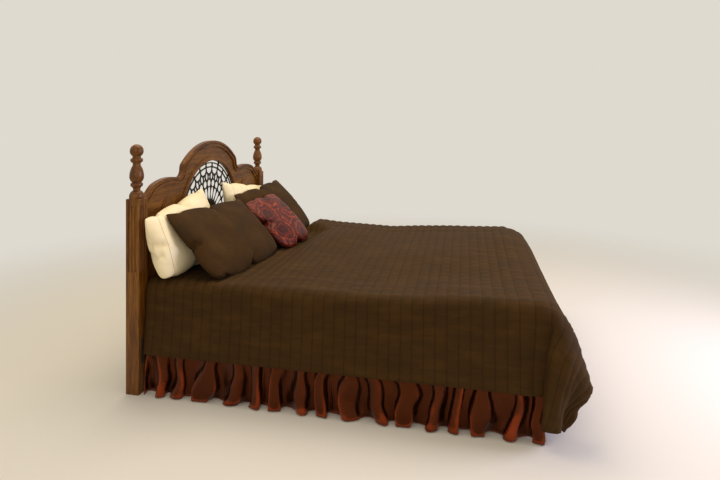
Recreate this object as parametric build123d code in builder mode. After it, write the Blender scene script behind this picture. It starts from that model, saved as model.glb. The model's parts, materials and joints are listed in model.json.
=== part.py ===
"""A made-up queen bed with a carved, arched headboard.

Millimetres. +X runs from the head to the foot, +Y to the far side and +Z up. The origin
is on the floor, under the middle of the whole bed. "Near" is the -Y side, "far" the +Y side.
"""

from build123d import *
import math
import os

os.makedirs("parts", exist_ok=True)

# Mattress, box spring and the steel frame that carries them
mattress_width = 1524
mattress_length = 2032
mattress_thickness = 220
mattress_corner = 60
mattress_edge = 28
box_spring_height = 190
box_corner = 30
box_edge = 10
box_end_inset = 4
box_side_inset = 2
deck_thickness = 2
seat_height = 158
steel = 3
rail_flange = 38
cross_flange = 32
cross_inset = 190
leg_size = 25
glide_radius = 25
glide_height = 22
touch = 0.3

# Headboard
post_size = 76
post_round = 3
post_gap = 23
post_rise = 19
flute_radius = 4.5
flute_pitch = 19
flute_bottom = 640
flute_end = 34
panel_thickness = 22
panel_setback = 22
panel_bottom = 450
panel_tongue = 10
rail_thickness = 30
rail_height = 110
shoulder_height = 1091
shoulder_width = 372
shoulder_fall = 91
crown_rise = 209
arch_drop = 135
arch_foot = 28
rim_width = 40
rim_step = 6
rim_bead = 8
dowel_radius = 8
dowel_length = 36
dowel_play = 0.1

# Iron tracery in the arch
grille_thickness = 6
grille_rebate = 10
rebate_depth = 8
cell_count = 13
bar = 8

# Bedding
head_gap = 12
quilt_thickness = 12
quilt_ease = 6
quilt_roundover = 42
quilt_corner = 70
hem_height = 214
foot_hem_height = 112
hem_clear = 3
skirt_thickness = 3
skirt_clear = 8

# Stations that follow from the sizes above
frame_top = seat_height
box_bottom = frame_top + touch
box_top = box_bottom + box_spring_height
mattress_bottom = box_top + deck_thickness
mattress_top = mattress_bottom + mattress_thickness
quilt_top = mattress_top + touch + quilt_thickness
half_width = mattress_width / 2
post_y = half_width + post_gap
post_face_y = post_y - post_size / 2
end_height = shoulder_height - shoulder_fall
apex_height = shoulder_height + crown_rise
post_block_top = end_height + post_rise
arch_radius = post_face_y - shoulder_width
arch_centre = apex_height - arch_drop - arch_radius
arch_sill = arch_centre - arch_foot

# The quilt's outline at five heights. At the foot corners a cone of spare cloth stands out,
# given by nine points as (along, across) from where the upright foot and side would meet:
# side joint, fold, side nose, slope, foot nose in three points, fold and foot joint
corner_steps = [90 - 11.25 * step for step in range(9)]
corner_arc = [
    (
        -quilt_corner * (1 - math.cos(math.radians(a))),
        -1.2 * quilt_corner * (1 - math.sin(math.radians(a))),
    )
    for a in corner_steps
]
quilt_levels = [
    # height, how far the side stands out, corner
    (quilt_top - quilt_roundover, 0, corner_arc),
    (380, 6,
        [(-95, 6), (-64, 30), (-28, 74), (28, 42),
         (62, -6), (68, -26), (62, -46), (40, -60), (8, -66)]),
    (hem_height, 32,
        [(-100, 32), (-78, 80), (-20, 134), (52, 56),
         (112, 4), (130, -30), (112, -64), (78, -82), (34, -88)]),
    (foot_hem_height, 36,
        [(-104, 36), (-80, 96), (-20, 160), (72, 58),
         (146, -2), (168, -34), (146, -66), (100, -84), (46, -92)]),
    (hem_clear, 40,
        [(-106, 40), (-82, 110), (-12, 178), (92, 76),
         (178, 0), (202, -36), (178, -72), (120, -88), (50, -96)]),
]
nose = 5
nose_reach = quilt_levels[3][2][nose][0]
overall_length = (
    post_size
    + head_gap
    + mattress_length
    + quilt_ease
    + quilt_thickness
    + nose_reach
)
x_back = -overall_length / 2
x_post = x_back + post_size / 2
x_post_front = x_back + post_size
x_panel = x_back + panel_setback
x_panel_front = x_panel + panel_thickness
x_head = x_post_front + head_gap
x_foot = x_head + mattress_length
quilt_side = half_width + quilt_ease + quilt_thickness
quilt_foot = x_foot + quilt_ease + quilt_thickness

sides = {"near": -1, "far": 1}


def save(piece, name):
    """Labels one finished piece and writes it as its own file."""
    piece.label = name
    export_step(piece, f"parts/{name}.step")


def facing_foot(x):
    """The plane at one X that is drawn with Y to the right and Z up."""
    return Plane(origin=(x, 0, 0), x_dir=(0, 1, 0), z_dir=(1, 0, 0))


# Headboard posts: a square fluted block below and a turned top
turned_foot = 36
turned_profile = [
    # end radius, end height, middle radius, middle height, both heights above the block
    (18.5, 43, 33, 29),
    (29, 65, 22, 59),
    (29, 82, 31, 73.5),
    (24, 86, 25, 82.5),
    (36, 120, 33, 100),
    (20.5, 174, 31, 150),
    (20.5, 187, 19.5, 180.5),
    (26, 192, None, None),
]
finial_profile = [
    (29, 195, None, None),
    (29, 211, 31.5, 203),
    (22, 217, 23.5, 212.5),
    (20, 223, 20.5, 220),
    (34, 252, 30, 234),
    (0.5, 286, 24, 276),
]
finial_base = turned_profile[-1][1]


def turning(start_radius, start_height, profile):
    """One closed half outline, from the axis out and round by arcs or lines to the axis."""
    here = (start_radius, start_height)
    Line((0, start_height), here)
    for end_radius, top, mid_radius, mid_height in profile:
        if mid_radius is None:
            Line(here, (end_radius, top))
        else:
            ThreePointArc(here, (mid_radius, mid_height), (end_radius, top))
        here = (end_radius, top)
    if here[0] > 0:
        Line(here, (0, here[1]))
    Line((0, here[1]), (0, start_height))


bracket_bolt_heights = (205, 265)
bolt_inset = 8
bolt_y = post_y - bolt_inset
bolt_radius = 4
bolt_play = 0.1
bolt_head = 7
bolt_head_depth = 5
bracket_plate = 4
flute_top = post_block_top - flute_end
dowel_middle = post_block_top + finial_base - dowel_length / 2

for side, sign in sides.items():
    axis_plane = Plane(
        origin=(x_post, sign * post_y, post_block_top), x_dir=(1, 0, 0), z_dir=(0, -1, 0)
    )
    with BuildPart() as post:
        with BuildSketch(Plane.XY):
            with Locations((x_post, sign * post_y)):
                Rectangle(post_size, post_size)
        extrude(amount=post_block_top)
        fillet(post.edges().filter_by(Axis.Z), post_round)
        chamfer(post.faces().sort_by(Axis.Z)[-1].edges(), 2)
        with BuildSketch(axis_plane):
            with BuildLine():
                turning(turned_foot, 0, turned_profile)
            make_face()
        revolve(axis=Axis((x_post, sign * post_y, 0), (0, 0, 1)))
        # Flutes on the front and outer faces
        flute_middle = (flute_bottom + flute_top) / 2
        flute_length = flute_top - flute_bottom
        for step in (-1, 0, 1):
            with Locations(
                (x_post_front, sign * post_y + step * flute_pitch, flute_middle),
                (
                    x_post + step * flute_pitch,
                    sign * (post_y + post_size / 2),
                    flute_middle,
                ),
            ):
                Cylinder(flute_radius, flute_length, mode=Mode.SUBTRACT)
        # Groove for the panel, mortise for the lower rail, bore for the finial's dowel
        with Locations(
            (
                x_panel + panel_thickness / 2,
                sign * (post_face_y + panel_tongue / 2),
                (panel_bottom + end_height) / 2,
            )
        ):
            Box(
                panel_thickness + 2 * touch,
                panel_tongue + 2 * touch,
                end_height - panel_bottom + 2 * touch,
                mode=Mode.SUBTRACT,
            )
        with Locations(
            (
                x_panel + rail_thickness / 2,
                sign * (post_face_y + panel_tongue / 2),
                panel_bottom - rail_height / 2,
            )
        ):
            Box(
                rail_thickness + 2 * touch,
                panel_tongue + 2 * touch,
                rail_height + 2 * touch,
                mode=Mode.SUBTRACT,
            )
        with Locations((x_post, sign * post_y, dowel_middle)):
            Cylinder(
                dowel_radius + dowel_play, dowel_length + 2 * touch, mode=Mode.SUBTRACT
            )
        for height in bracket_bolt_heights:
            with BuildSketch(facing_foot(x_back)):
                with Locations((sign * bolt_y, height)):
                    Circle(bolt_radius + bolt_play)
            extrude(amount=post_size, mode=Mode.SUBTRACT)
    save(post.part, f"post_{side}")

    with BuildPart() as finial:
        with BuildSketch(axis_plane):
            with BuildLine():
                turning(finial_profile[0][0] - 1, finial_base, finial_profile)
            make_face()
        revolve(axis=Axis((x_post, sign * post_y, 0), (0, 0, 1)))
        with Locations((x_post, sign * post_y, dowel_middle + 1)):
            Cylinder(dowel_radius, dowel_length)
    save(finial.part, f"finial_{side}")


# Headboard panel: its top edge, from the middle out to one post
profile_shares = [
    # end across and height, middle across and height; across from the arch's radius where it
    # is under the crown and from the post's face where it is on the shoulder, heights as
    # shares of the crown's rise above the shoulder and of the shoulder's fall to the post
    (-40, 0.416, None, None),
    (-17, 0.21, -23, 0.33),
    (30, -0.005, -3, 0.062),
    (-127, -0.055, -227, 0.12),
    (-57, -0.484, -88, -0.22),
]
crown_points = 3


def profile_point(index, across, share):
    """One point of the panel's top edge, in millimetres."""
    if index < crown_points:
        return arch_radius + across, shoulder_height + share * crown_rise
    return post_face_y + across, shoulder_height + share * shoulder_fall


profile_arcs = []
for index, (across, share, mid_across, mid_share) in enumerate(profile_shares):
    middle = (None, None)
    if mid_share is not None:
        middle = profile_point(index, mid_across, mid_share)
    profile_arcs.append((*profile_point(index, across, share), *middle))


def panel_outline(reach, bottom):
    """The closed outline of the panel, out to reach on both sides."""
    first = profile_arcs[0]
    ThreePointArc((-first[0], first[1]), (0, apex_height), (first[0], first[1]))
    for sign in (-1, 1):
        here = (first[0], first[1])
        for across, height, mid_across, mid_height in profile_arcs[1:]:
            ThreePointArc(
                (sign * here[0], here[1]),
                (sign * mid_across, mid_height),
                (sign * across, height),
            )
            here = (across, height)
        slope = (here[1] - end_height) / (post_face_y - here[0])
        end = here[1] - slope * (reach - here[0])
        Line((sign * here[0], here[1]), (sign * reach, end))
        Line((sign * reach, end), (sign * reach, bottom))
    Line((-reach, bottom), (reach, bottom))


def arch_outline(radius, sill):
    """A round arch on a straight sill, as one closed outline."""
    ThreePointArc(
        (-radius, arch_centre), (0, arch_centre + radius), (radius, arch_centre)
    )
    Polyline(
        (radius, arch_centre), (radius, sill), (-radius, sill), (-radius, arch_centre)
    )


with BuildPart() as headboard_panel:
    with BuildSketch(facing_foot(x_panel)):
        with BuildLine():
            panel_outline(post_face_y - touch, panel_bottom)
        make_face()
        with BuildLine():
            arch_outline(arch_radius, arch_sill)
        make_face(mode=Mode.SUBTRACT)
    extrude(amount=panel_thickness)
    with BuildSketch(facing_foot(x_panel)):
        for sign in (-1, 1):
            with Locations(
                (
                    sign * (post_face_y + panel_tongue / 2 - touch),
                    (panel_bottom + end_height) / 2,
                )
            ):
                Rectangle(panel_tongue, end_height - panel_bottom)
    extrude(amount=panel_thickness)
    with BuildSketch(facing_foot(x_panel)):
        with BuildLine():
            arch_outline(arch_radius + grille_rebate, arch_sill - grille_rebate)
        make_face()
    extrude(amount=rebate_depth, mode=Mode.SUBTRACT)
save(headboard_panel.part, "headboard_panel")

with BuildPart() as lower_rail:
    with Locations(
        (x_panel + rail_thickness / 2, 0, panel_bottom - touch - rail_height / 2)
    ):
        Box(rail_thickness, 2 * (post_face_y + panel_tongue - touch), rail_height)
    chamfer(lower_rail.edges().filter_by(Axis.Y), 3)
save(lower_rail.part, "lower_rail")


def rim_band(outer, inner):
    """The strip of the panel's top between two distances from its edge."""
    with BuildSketch(facing_foot(x_panel_front + touch)) as band:
        with BuildLine():
            panel_outline(post_face_y + 2 * rim_width, panel_bottom)
        make_face()
        if outer > 0:
            offset(amount=-outer, kind=Kind.ARC)
        with BuildSketch(mode=Mode.PRIVATE) as cut:
            with BuildLine():
                panel_outline(post_face_y + 2 * rim_width, panel_bottom)
            make_face()
            offset(amount=-inner, kind=Kind.ARC)
        add(cut.sketch_local, mode=Mode.SUBTRACT)
        with Locations((0, (end_height - rim_width + apex_height) / 2)):
            Rectangle(
                2 * (post_face_y - touch),
                apex_height - end_height + 3 * rim_width,
                mode=Mode.INTERSECT,
            )
    return band.sketch


with BuildPart() as crown_moulding:
    for outer, inner, height in (
        (0, rim_width, rim_step),
        (0, 0.42 * rim_width, rim_step + 0.6 * rim_bead),
        (0.04 * rim_width, 0.38 * rim_width, rim_step + 0.85 * rim_bead),
        (0.1 * rim_width, 0.3 * rim_width, rim_step + rim_bead),
        (0.62 * rim_width, 0.92 * rim_width, rim_step + 0.4 * rim_bead),
        (0.68 * rim_width, 0.86 * rim_width, rim_step + 0.6 * rim_bead),
    ):
        extrude(rim_band(outer, inner), amount=height)
save(crown_moulding.part, "crown_moulding")

arch_width = 26
arch_relief = 1.8 * rim_step
arch_round = 3.5
with BuildPart() as arch_moulding:
    for outer, height in ((arch_width, rim_step), (0.5 * arch_width, arch_relief)):
        with BuildSketch(facing_foot(x_panel_front + touch)):
            with BuildLine():
                arch_outline(arch_radius + outer, arch_sill - outer)
            make_face()
            with BuildLine():
                arch_outline(arch_radius, arch_sill)
            make_face(mode=Mode.SUBTRACT)
        extrude(amount=height)
    fillet(arch_moulding.faces().sort_by(Axis.X)[-1].edges(), arch_round)
save(arch_moulding.part, "arch_moulding")

# Raised field on each shoulder, with a hump beside the arch and a low flat beside the post
field_arch_margin = 65
field_post_margin = 43
field_rail_margin = 32
field_top_margin = 103
hump_fall = 60
flat_fall = 82
hump_slant = 8
dip_rise = 6
hump_across = (65, 134, 152, 180)
field_inner = arch_radius + field_arch_margin
field_outer = post_face_y - field_post_margin
field_bottom = panel_bottom + field_rail_margin
field_top = shoulder_height - field_top_margin
hump_end = field_top - hump_fall
hump_start = hump_end - hump_slant
field_flat = field_top - flat_fall
field_depth = 9
field_bevel = 12
for side, sign in sides.items():
    with BuildPart() as raised_panel:
        crest, hump_foot, dip, flat = [sign * (field_inner + a) for a in hump_across]
        for inset, height in ((0, field_depth / 2), (field_bevel, field_depth)):
            with BuildSketch(facing_foot(x_panel_front + touch)):
                with BuildLine():
                    Polyline(
                        (flat, field_flat),
                        (sign * field_outer, field_flat),
                        (sign * field_outer, field_bottom),
                        (sign * field_inner, field_bottom),
                        (sign * field_inner, hump_start),
                    )
                    ThreePointArc(
                        (sign * field_inner, hump_start), (crest, field_top), (hump_foot, hump_end)
                    )
                    ThreePointArc(
                        (hump_foot, hump_end), (dip, field_flat + dip_rise), (flat, field_flat)
                    )
                make_face()
                if inset:
                    offset(amount=-inset)
            extrude(amount=height)
    save(raised_panel.part, f"raised_panel_{side}")

# Iron tracery: a plate pierced by rings of cells about the arch's centre
pitch = 180 / cell_count
ring_gap = 13
unit = arch_radius / 75


def around(radius, at_bars=False):
    """Places cells on one ring, over the cells of the outer band or over its bars."""
    first = pitch if at_bars else pitch / 2
    count = cell_count - 1 if at_bars else cell_count
    return PolarLocations(
        radius, count, start_angle=first, angular_range=(count - 1) * pitch, endpoint=True
    )


def petal(inward, outward, half):
    """A cell with a straight outer end and a round inner end, as a face."""
    with BuildSketch(mode=Mode.PRIVATE) as cell:
        with BuildLine():
            ThreePointArc((outward, -half), (outward + 2, 0), (outward, half))
            ThreePointArc((outward, half), (-0.55 * inward, 0.72 * half), (-inward, 0))
            ThreePointArc(
                (-inward, 0), (-0.55 * inward, -0.72 * half), (outward, -half)
            )
        make_face()
    return cell.sketch


def leaf(inward, outward, half):
    """A cell pointed at both ends, as a face."""
    with BuildSketch(mode=Mode.PRIVATE) as cell:
        with BuildLine():
            ThreePointArc((outward, 0), (0, half), (-inward, 0))
            ThreePointArc((-inward, 0), (0, -half), (outward, 0))
        make_face()
    return cell.sketch


outer_ring = arch_radius - ring_gap
band_one = outer_ring - bar - 2 * unit
band_two = band_one - bar - 5.6 * unit
band_three = band_two - 8.4 * unit
band_four = band_three - 9.2 * unit
inner_ring = band_four - 5.4 * unit
with BuildPart() as grille:
    grille_plane = Plane(
        origin=(x_panel + rebate_depth - touch - grille_thickness, 0, arch_centre),
        x_dir=(0, 1, 0),
        z_dir=(1, 0, 0),
    )
    rim_radius = arch_radius + grille_rebate - touch
    with BuildSketch(grille_plane):
        Circle(rim_radius)
        with Locations((0, -rim_radius / 2 - (arch_centre - arch_sill) / 2)):
            Rectangle(2 * rim_radius, rim_radius, mode=Mode.SUBTRACT)
        with Locations((0, -(arch_centre - arch_sill) / 2 - grille_rebate / 2)):
            Rectangle(
                2 * rim_radius, arch_centre - arch_sill + grille_rebate - 2 * touch
            )
        # Thin gap inside the rim, bridged at every second bar
        for index in range(-1, cell_count + 1, 2):
            start = max(index * pitch + 1.2, 0.6)
            end = min((index + 2) * pitch - 1.2, 179.4)
            with BuildLine():
                middle = math.radians((start + end) / 2)
                low, high = math.radians(start), math.radians(end)
                ThreePointArc(
                    *[
                        (arch_radius * math.cos(a), arch_radius * math.sin(a))
                        for a in (low, middle, high)
                    ]
                )
                ThreePointArc(
                    *[
                        (outer_ring * math.cos(a), outer_ring * math.sin(a))
                        for a in (low, middle, high)
                    ]
                )
                for a in (low, high):
                    Line(
                        (arch_radius * math.cos(a), arch_radius * math.sin(a)),
                        (outer_ring * math.cos(a), outer_ring * math.sin(a)),
                    )
            make_face(mode=Mode.SUBTRACT)
        with around(band_one):
            SlotOverall(
                math.radians(pitch) * band_one - bar, 4 * unit, rotation=90, mode=Mode.SUBTRACT
            )
        petal_half = math.radians(pitch) * (band_two + 2.8 * unit) / 2 - bar / 2
        with around(band_two):
            add(petal(4.2 * unit, 3 * unit, petal_half), mode=Mode.SUBTRACT)
        with around(band_three, at_bars=True):
            add(leaf(4.8 * unit, 5.2 * unit, 3 * unit), mode=Mode.SUBTRACT)
        with around(band_three):
            add(leaf(4 * unit, 2.4 * unit, 1.8 * unit), mode=Mode.SUBTRACT)
        with around(band_four):
            Circle(math.radians(pitch) * band_four / 2 - bar / 2.4, mode=Mode.SUBTRACT)
        spoke_half = 9.2 * unit
        with around(inner_ring - spoke_half):
            add(petal(spoke_half, spoke_half - 4, 3 * unit), mode=Mode.SUBTRACT)
        with Locations((0, 4.4 * unit)):
            SlotOverall(15.6 * unit, 4.4 * unit, mode=Mode.SUBTRACT)
    extrude(amount=grille_thickness)
save(grille.part, "grille")

# Steel frame: two side rails, three cross rails, legs with glides and two brackets
rail_end_gap = 20
bracket_width, bracket_height, bracket_corner = 52, 136, 8
bracket_inset, bracket_drop = 6, 12
for side, sign in sides.items():
    with BuildPart() as side_rail:
        with BuildSketch(Plane.YZ.offset(x_post_front + bracket_plate)):
            with Locations((sign * (half_width + steel / 2), frame_top)):
                Rectangle(
                    steel, rail_flange, align=(Align.CENTER, Align.MIN)
                )
            with Locations((sign * (half_width + steel), frame_top)):
                Rectangle(
                    rail_flange,
                    steel,
                    align=(Align.MAX if sign > 0 else Align.MIN, Align.MAX),
                )
        extrude(amount=x_foot - x_post_front - bracket_plate - rail_end_gap)
    save(side_rail.part, f"side_rail_{side}")

    with BuildPart() as bracket:
        with BuildSketch(facing_foot(x_post_front)):
            with Locations(
                (sign * (post_y - bracket_inset), sum(bracket_bolt_heights) / 2 - bracket_drop)
            ):
                RectangleRounded(bracket_width, bracket_height, bracket_corner)
            for height in bracket_bolt_heights:
                with Locations((sign * bolt_y, height)):
                    Circle(bolt_radius + bolt_play, mode=Mode.SUBTRACT)
        extrude(amount=bracket_plate)
    save(bracket.part, f"bracket_{side}")

bolt_shank = post_size + bracket_plate + 2 * touch
with BuildPart() as headboard_bolts:
    for sign in sides.values():
        for height in bracket_bolt_heights:
            with BuildSketch(facing_foot(x_back - touch)):
                with Locations((sign * bolt_y, height)):
                    Circle(bolt_radius)
            extrude(amount=bolt_shank)
            with BuildSketch(facing_foot(x_post_front + bracket_plate + touch)):
                with Locations((sign * bolt_y, height)):
                    RegularPolygon(bolt_head, 6)
            extrude(amount=bolt_head_depth)
save(headboard_bolts.part, "headboard_bolts")

cross_stations = {
    "head": x_head + cross_inset,
    "middle": (x_head + x_foot) / 2,
    "foot": x_foot - cross_inset,
}
cross_top = frame_top - steel
leg_inset = 52
leg_rows = (leg_inset - half_width, 0, half_width - leg_inset)
for name, x in cross_stations.items():
    with BuildPart() as cross_rail:
        with BuildSketch(Plane.XZ.offset(-half_width)):
            with Locations((x, cross_top)):
                Rectangle(cross_flange, steel, align=(Align.MIN, Align.MAX))
                Rectangle(steel, cross_flange, align=(Align.MIN, Align.MAX))
        extrude(amount=mattress_width)
    save(cross_rail.part, f"cross_rail_{name}")

    with BuildPart() as legs:
        for y in leg_rows:
            with BuildSketch(Plane.XY.offset(glide_height)):
                with Locations((x + steel + leg_size / 2, y)):
                    Rectangle(leg_size, leg_size)
                    Rectangle(
                        leg_size - 2 * steel, leg_size - 2 * steel, mode=Mode.SUBTRACT
                    )
            extrude(amount=cross_top - steel - glide_height)
    save(legs.part, f"legs_{name}")

with BuildPart() as glides:
    for x in cross_stations.values():
        for y in leg_rows:
            axis_x = x + steel + leg_size / 2
            with BuildSketch(Plane(origin=(axis_x, y, 0), x_dir=(1, 0, 0), z_dir=(0, -1, 0))):
                with BuildLine():
                    Polyline(
                        (0, 0),
                        (glide_radius - 3, 0),
                        (glide_radius, 3),
                        (glide_radius, 9),
                        (0.72 * glide_radius, glide_height),
                        (0, glide_height),
                        (0, 0),
                    )
                make_face()
            revolve(axis=Axis((axis_x, y, 0), (0, 0, 1)))
save(glides.part, "glides")

# Box spring, the deck that the bed skirt hangs from, and the mattress
skirt_top_offset, skirt_top_depth = 8.5, 5
skirt_foot_offset, skirt_foot_depth = 40, 25
deck_reach = skirt_top_offset - skirt_top_depth - skirt_thickness / 2 - touch
with BuildPart() as box_spring:
    with BuildSketch(Plane.XY.offset(box_bottom)):
        with Locations(((x_head + x_foot) / 2, 0)):
            RectangleRounded(
                mattress_length - 2 * box_end_inset, mattress_width - 2 * box_side_inset, box_corner
            )
    extrude(amount=box_spring_height)
    fillet(
        box_spring.faces().sort_by(Axis.Z)[-1].edges()
        + box_spring.faces().sort_by(Axis.Z)[0].edges(),
        box_edge,
    )
save(box_spring.part, "box_spring")

with BuildPart() as skirt_deck:
    with BuildSketch(Plane.XY.offset(box_top)):
        with Locations(((x_head + x_foot + deck_reach) / 2, 0)):
            RectangleRounded(
                mattress_length + deck_reach, mattress_width + 2 * deck_reach, box_corner
            )
    extrude(amount=deck_thickness)
save(skirt_deck.part, "skirt_deck")

with BuildPart() as mattress:
    with BuildSketch(Plane.XY.offset(mattress_bottom)):
        with Locations(((x_head + x_foot) / 2, 0)):
            RectangleRounded(mattress_length, mattress_width, mattress_corner)
    extrude(amount=mattress_thickness)
    fillet(
        mattress.faces().sort_by(Axis.Z)[-1].edges()
        + mattress.faces().sort_by(Axis.Z)[0].edges(),
        mattress_edge,
    )
save(mattress.part, "mattress")

# Bed skirt: three gathered panels, shallow waves at the deck and deep ones at the floor
skirt_wave = 127
skirt_side_end, skirt_foot_end = 4, 6


def wave_outline(start, length, waves, out, depth):
    """One strip in plan, between two wavy lines a cloth's thickness apart."""
    step = length / (2 * waves)
    for face in (-0.5, 0.5):
        for index in range(2 * waves):
            crest = depth if index % 2 else -depth
            a = start + index * step
            ThreePointArc(
                (a, out + face * skirt_thickness),
                (a + step / 2, out + crest + face * skirt_thickness),
                (a + step, out + face * skirt_thickness),
            )
    for end in (start, start + length):
        Line(
            (end, out - skirt_thickness / 2),
            (end, out + skirt_thickness / 2),
        )


def skirt_panel(name, start, length, edge, along_x, sign):
    """One gathered panel that hangs outside an edge of the box spring."""
    waves = round(length / skirt_wave)
    with BuildPart() as panel:
        for height, out, depth in (
            (box_top + deck_thickness, skirt_top_offset, skirt_top_depth),
            (skirt_clear, skirt_foot_offset, skirt_foot_depth),
        ):
            if along_x:
                plane = Plane(
                    origin=(0, sign * edge, height),
                    x_dir=(1, 0, 0),
                    z_dir=(0, 0, sign),
                )
            else:
                plane = Plane(origin=(edge, 0, height), x_dir=(0, 1, 0), z_dir=(0, 0, -1))
            with BuildSketch(plane):
                with BuildLine():
                    wave_outline(start, length, waves, out, depth)
                make_face()
        loft(ruled=True)
    save(panel.part, name)


for side, sign in sides.items():
    skirt_panel(
        f"skirt_{side}",
        x_head + skirt_side_end,
        mattress_length - 2 * skirt_side_end,
        half_width,
        True,
        sign,
    )
skirt_panel(
    "skirt_foot",
    skirt_foot_end - half_width,
    mattress_width - 2 * skirt_foot_end,
    x_foot,
    False,
    1,
)


# Quilt: a draped shell, open at the head and below, with a cone of spare cloth at each corner
lining_steps = [
    # which way each corner point moves for the lining, along and across
    (0.9, -1),
    (1, -0.3),
    (0.2, -1),
    (-0.6, -0.8),
    (-0.9, -0.4),
    (-1, 0),
    (-0.8, 0.5),
    (-0.2, 1),
    (-1, 0.9),
]


def quilt_section(level, inset, head_x):
    """The plan outline at one level, moved in by inset."""
    height, side_out, corner = level
    side_line = quilt_side + side_out - inset
    steps = lining_steps
    if corner is corner_arc:
        steps = [(-math.cos(math.radians(a)), -math.sin(math.radians(a))) for a in corner_steps]
    points = [
        (quilt_foot + along + inset * dx, quilt_side + across + inset * dy)
        for (along, across), (dx, dy) in zip(corner, steps)
    ]
    with BuildSketch(Plane.XY.offset(height)) as section:
        with BuildLine():
            for sign in (-1, 1):
                corner_points = [(x, sign * y) for x, y in points]
                Line((head_x, sign * side_line), corner_points[0])
                for first in (0, 2, 4, 6):
                    ThreePointArc(*corner_points[first : first + 3])
            Line((points[-1][0], -points[-1][1]), (points[-1][0], points[-1][1]))
            Line((head_x, -side_line), (head_x, side_line))
        make_face()
    return section.sketch


def quilt_form(inset, head_x, overrun):
    """The solid inside the quilt's outer face, or inside its lining."""
    with BuildPart() as form:
        top_section = quilt_section(quilt_levels[0], inset, head_x)
        extrude(top_section, amount=quilt_roundover - inset)
        fillet(
            [
                edge
                for edge in form.faces().sort_by(Axis.Z)[-1].edges()
                if edge.center().X > head_x + 1
            ],
            quilt_roundover - inset - 1,
        )
        for upper, lower in zip(quilt_levels, quilt_levels[1:]):
            loft(
                [
                    quilt_section(upper, inset, head_x).face(),
                    quilt_section(lower, inset, head_x).face(),
                ],
                ruled=True,
            )
        if overrun > 0:
            extrude(quilt_section(quilt_levels[-1], inset, head_x), amount=-overrun)
    return form.part


# The hem in side view: along from the foot line and height, down to each corner's tip
flap_back = 110
hem_fall = [(-14, 190), (10, 120), (28, 80), (55, 40), (82, -5)]
tip_end = 92
foot_hem_margin = 40
below = -5
with BuildPart() as quilt:
    add(quilt_form(0, x_head, 0))
    add(quilt_form(quilt_thickness, x_head - 5, 10), mode=Mode.SUBTRACT)
    with BuildSketch(Plane.XZ.offset(-half_width * 2)):
        with BuildLine():
            Polyline(
                (x_head - 10, below),
                (x_head - 10, hem_height),
                (quilt_foot - flap_back, hem_height),
                *[(quilt_foot + along, height) for along, height in hem_fall],
                close=True,
            )
        make_face()
        with BuildLine():
            Polyline(
                (quilt_foot + tip_end, below),
                (quilt_foot + nose_reach, foot_hem_height),
                (quilt_foot + nose_reach + 50, foot_hem_height),
                (quilt_foot + nose_reach + 50, below),
                close=True,
            )
        make_face()
    extrude(amount=half_width * 4, mode=Mode.SUBTRACT)
    with BuildSketch(facing_foot(quilt_foot - 200)):
        with Locations((0, (foot_hem_height + below) / 2)):
            Rectangle(2 * (quilt_side - foot_hem_margin), foot_hem_height - below)
    extrude(amount=500, mode=Mode.SUBTRACT)
save(quilt.part, "quilt")


# Pillows: two soft faces that meet in a sharp seam, pulled in between pointed corners
def pillow(width, height, thickness, slope, plane):
    """One stuffed pillow on its own middle plane, its top edge rising by slope along it."""
    shares = [
        # size, half thickness and how far the sides bow out, as shares
        (1, 0, -0.045),
        (0.95, 0.15, -0.01),
        (0.8, 0.33, 0.02),
        (0.5, 0.46, 0.04),
        (0.15, 0.5, 0.03),
    ]
    halves = []
    for face in (1, -1):
        with BuildPart() as half:
            for share, rise, bow in shares:
                w, h = width / 2 * share, height / 2 * share
                low_end, high_end = h - slope * w, h + slope * w
                with BuildSketch(plane.offset(face * rise * thickness)):
                    with BuildLine():
                        ThreePointArc((-w, -h), (0, -h - bow * height), (w, -h))
                        ThreePointArc((w, -h), (w + bow * width, 0), (w, high_end))
                        ThreePointArc((w, high_end), (0, h + bow * height), (-w, low_end))
                        ThreePointArc((-w, low_end), (-w - bow * width, 0), (-w, -h))
                    make_face()
            loft()
        halves.append(half.part)
    with BuildPart() as whole:
        add(halves[0])
        add(halves[1])
    return whole.part


# From the front one back, so that each is pressed in by those that lean on it
pillow_table = [
    # name, width, height, thickness, across, out from the headboard, up from the quilt,
    # lean from upright, turn, slope of the top edge, pressed by
    ("cushion", 440, 440, 105, 196, 414, 155, 46, 6, 0.03, ()),
    ("sham_near", 735, 470, 120, -372, 319, 165, 44, 6, -0.03, ("cushion",)),
    ("sham_far", 720, 480, 120, 404, 305, 178, 42, 6, 0.07, ("cushion",)),
    ("pillow_near", 640, 400, 160, -512, 112, 190, 17, 0, 0.15, ("sham_near",)),
    ("pillow_far", 640, 400, 160, 384, 112, 190, 17, 0, -0.16, ("sham_near", "sham_far")),
]
seam_clear = 1
with BuildPart() as bed_and_board:
    with Locations((0, 0, quilt_top + touch)):
        Box(
            overall_length, 2 * quilt_side, quilt_top, align=(Align.CENTER, Align.CENTER, Align.MAX)
        )
    with Locations((x_panel_front + touch + arch_relief + touch, 0, apex_height)):
        Box(
            panel_thickness, 2 * post_face_y, apex_height, align=(Align.MAX, Align.CENTER, Align.MAX)
        )
    for sign in sides.values():
        with Locations((x_post_front + touch, sign * post_y, apex_height)):
            Box(
                post_size,
                post_size + 2 * touch,
                apex_height,
                align=(Align.MAX, Align.CENTER, Align.MAX),
            )
pressing = {}
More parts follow.
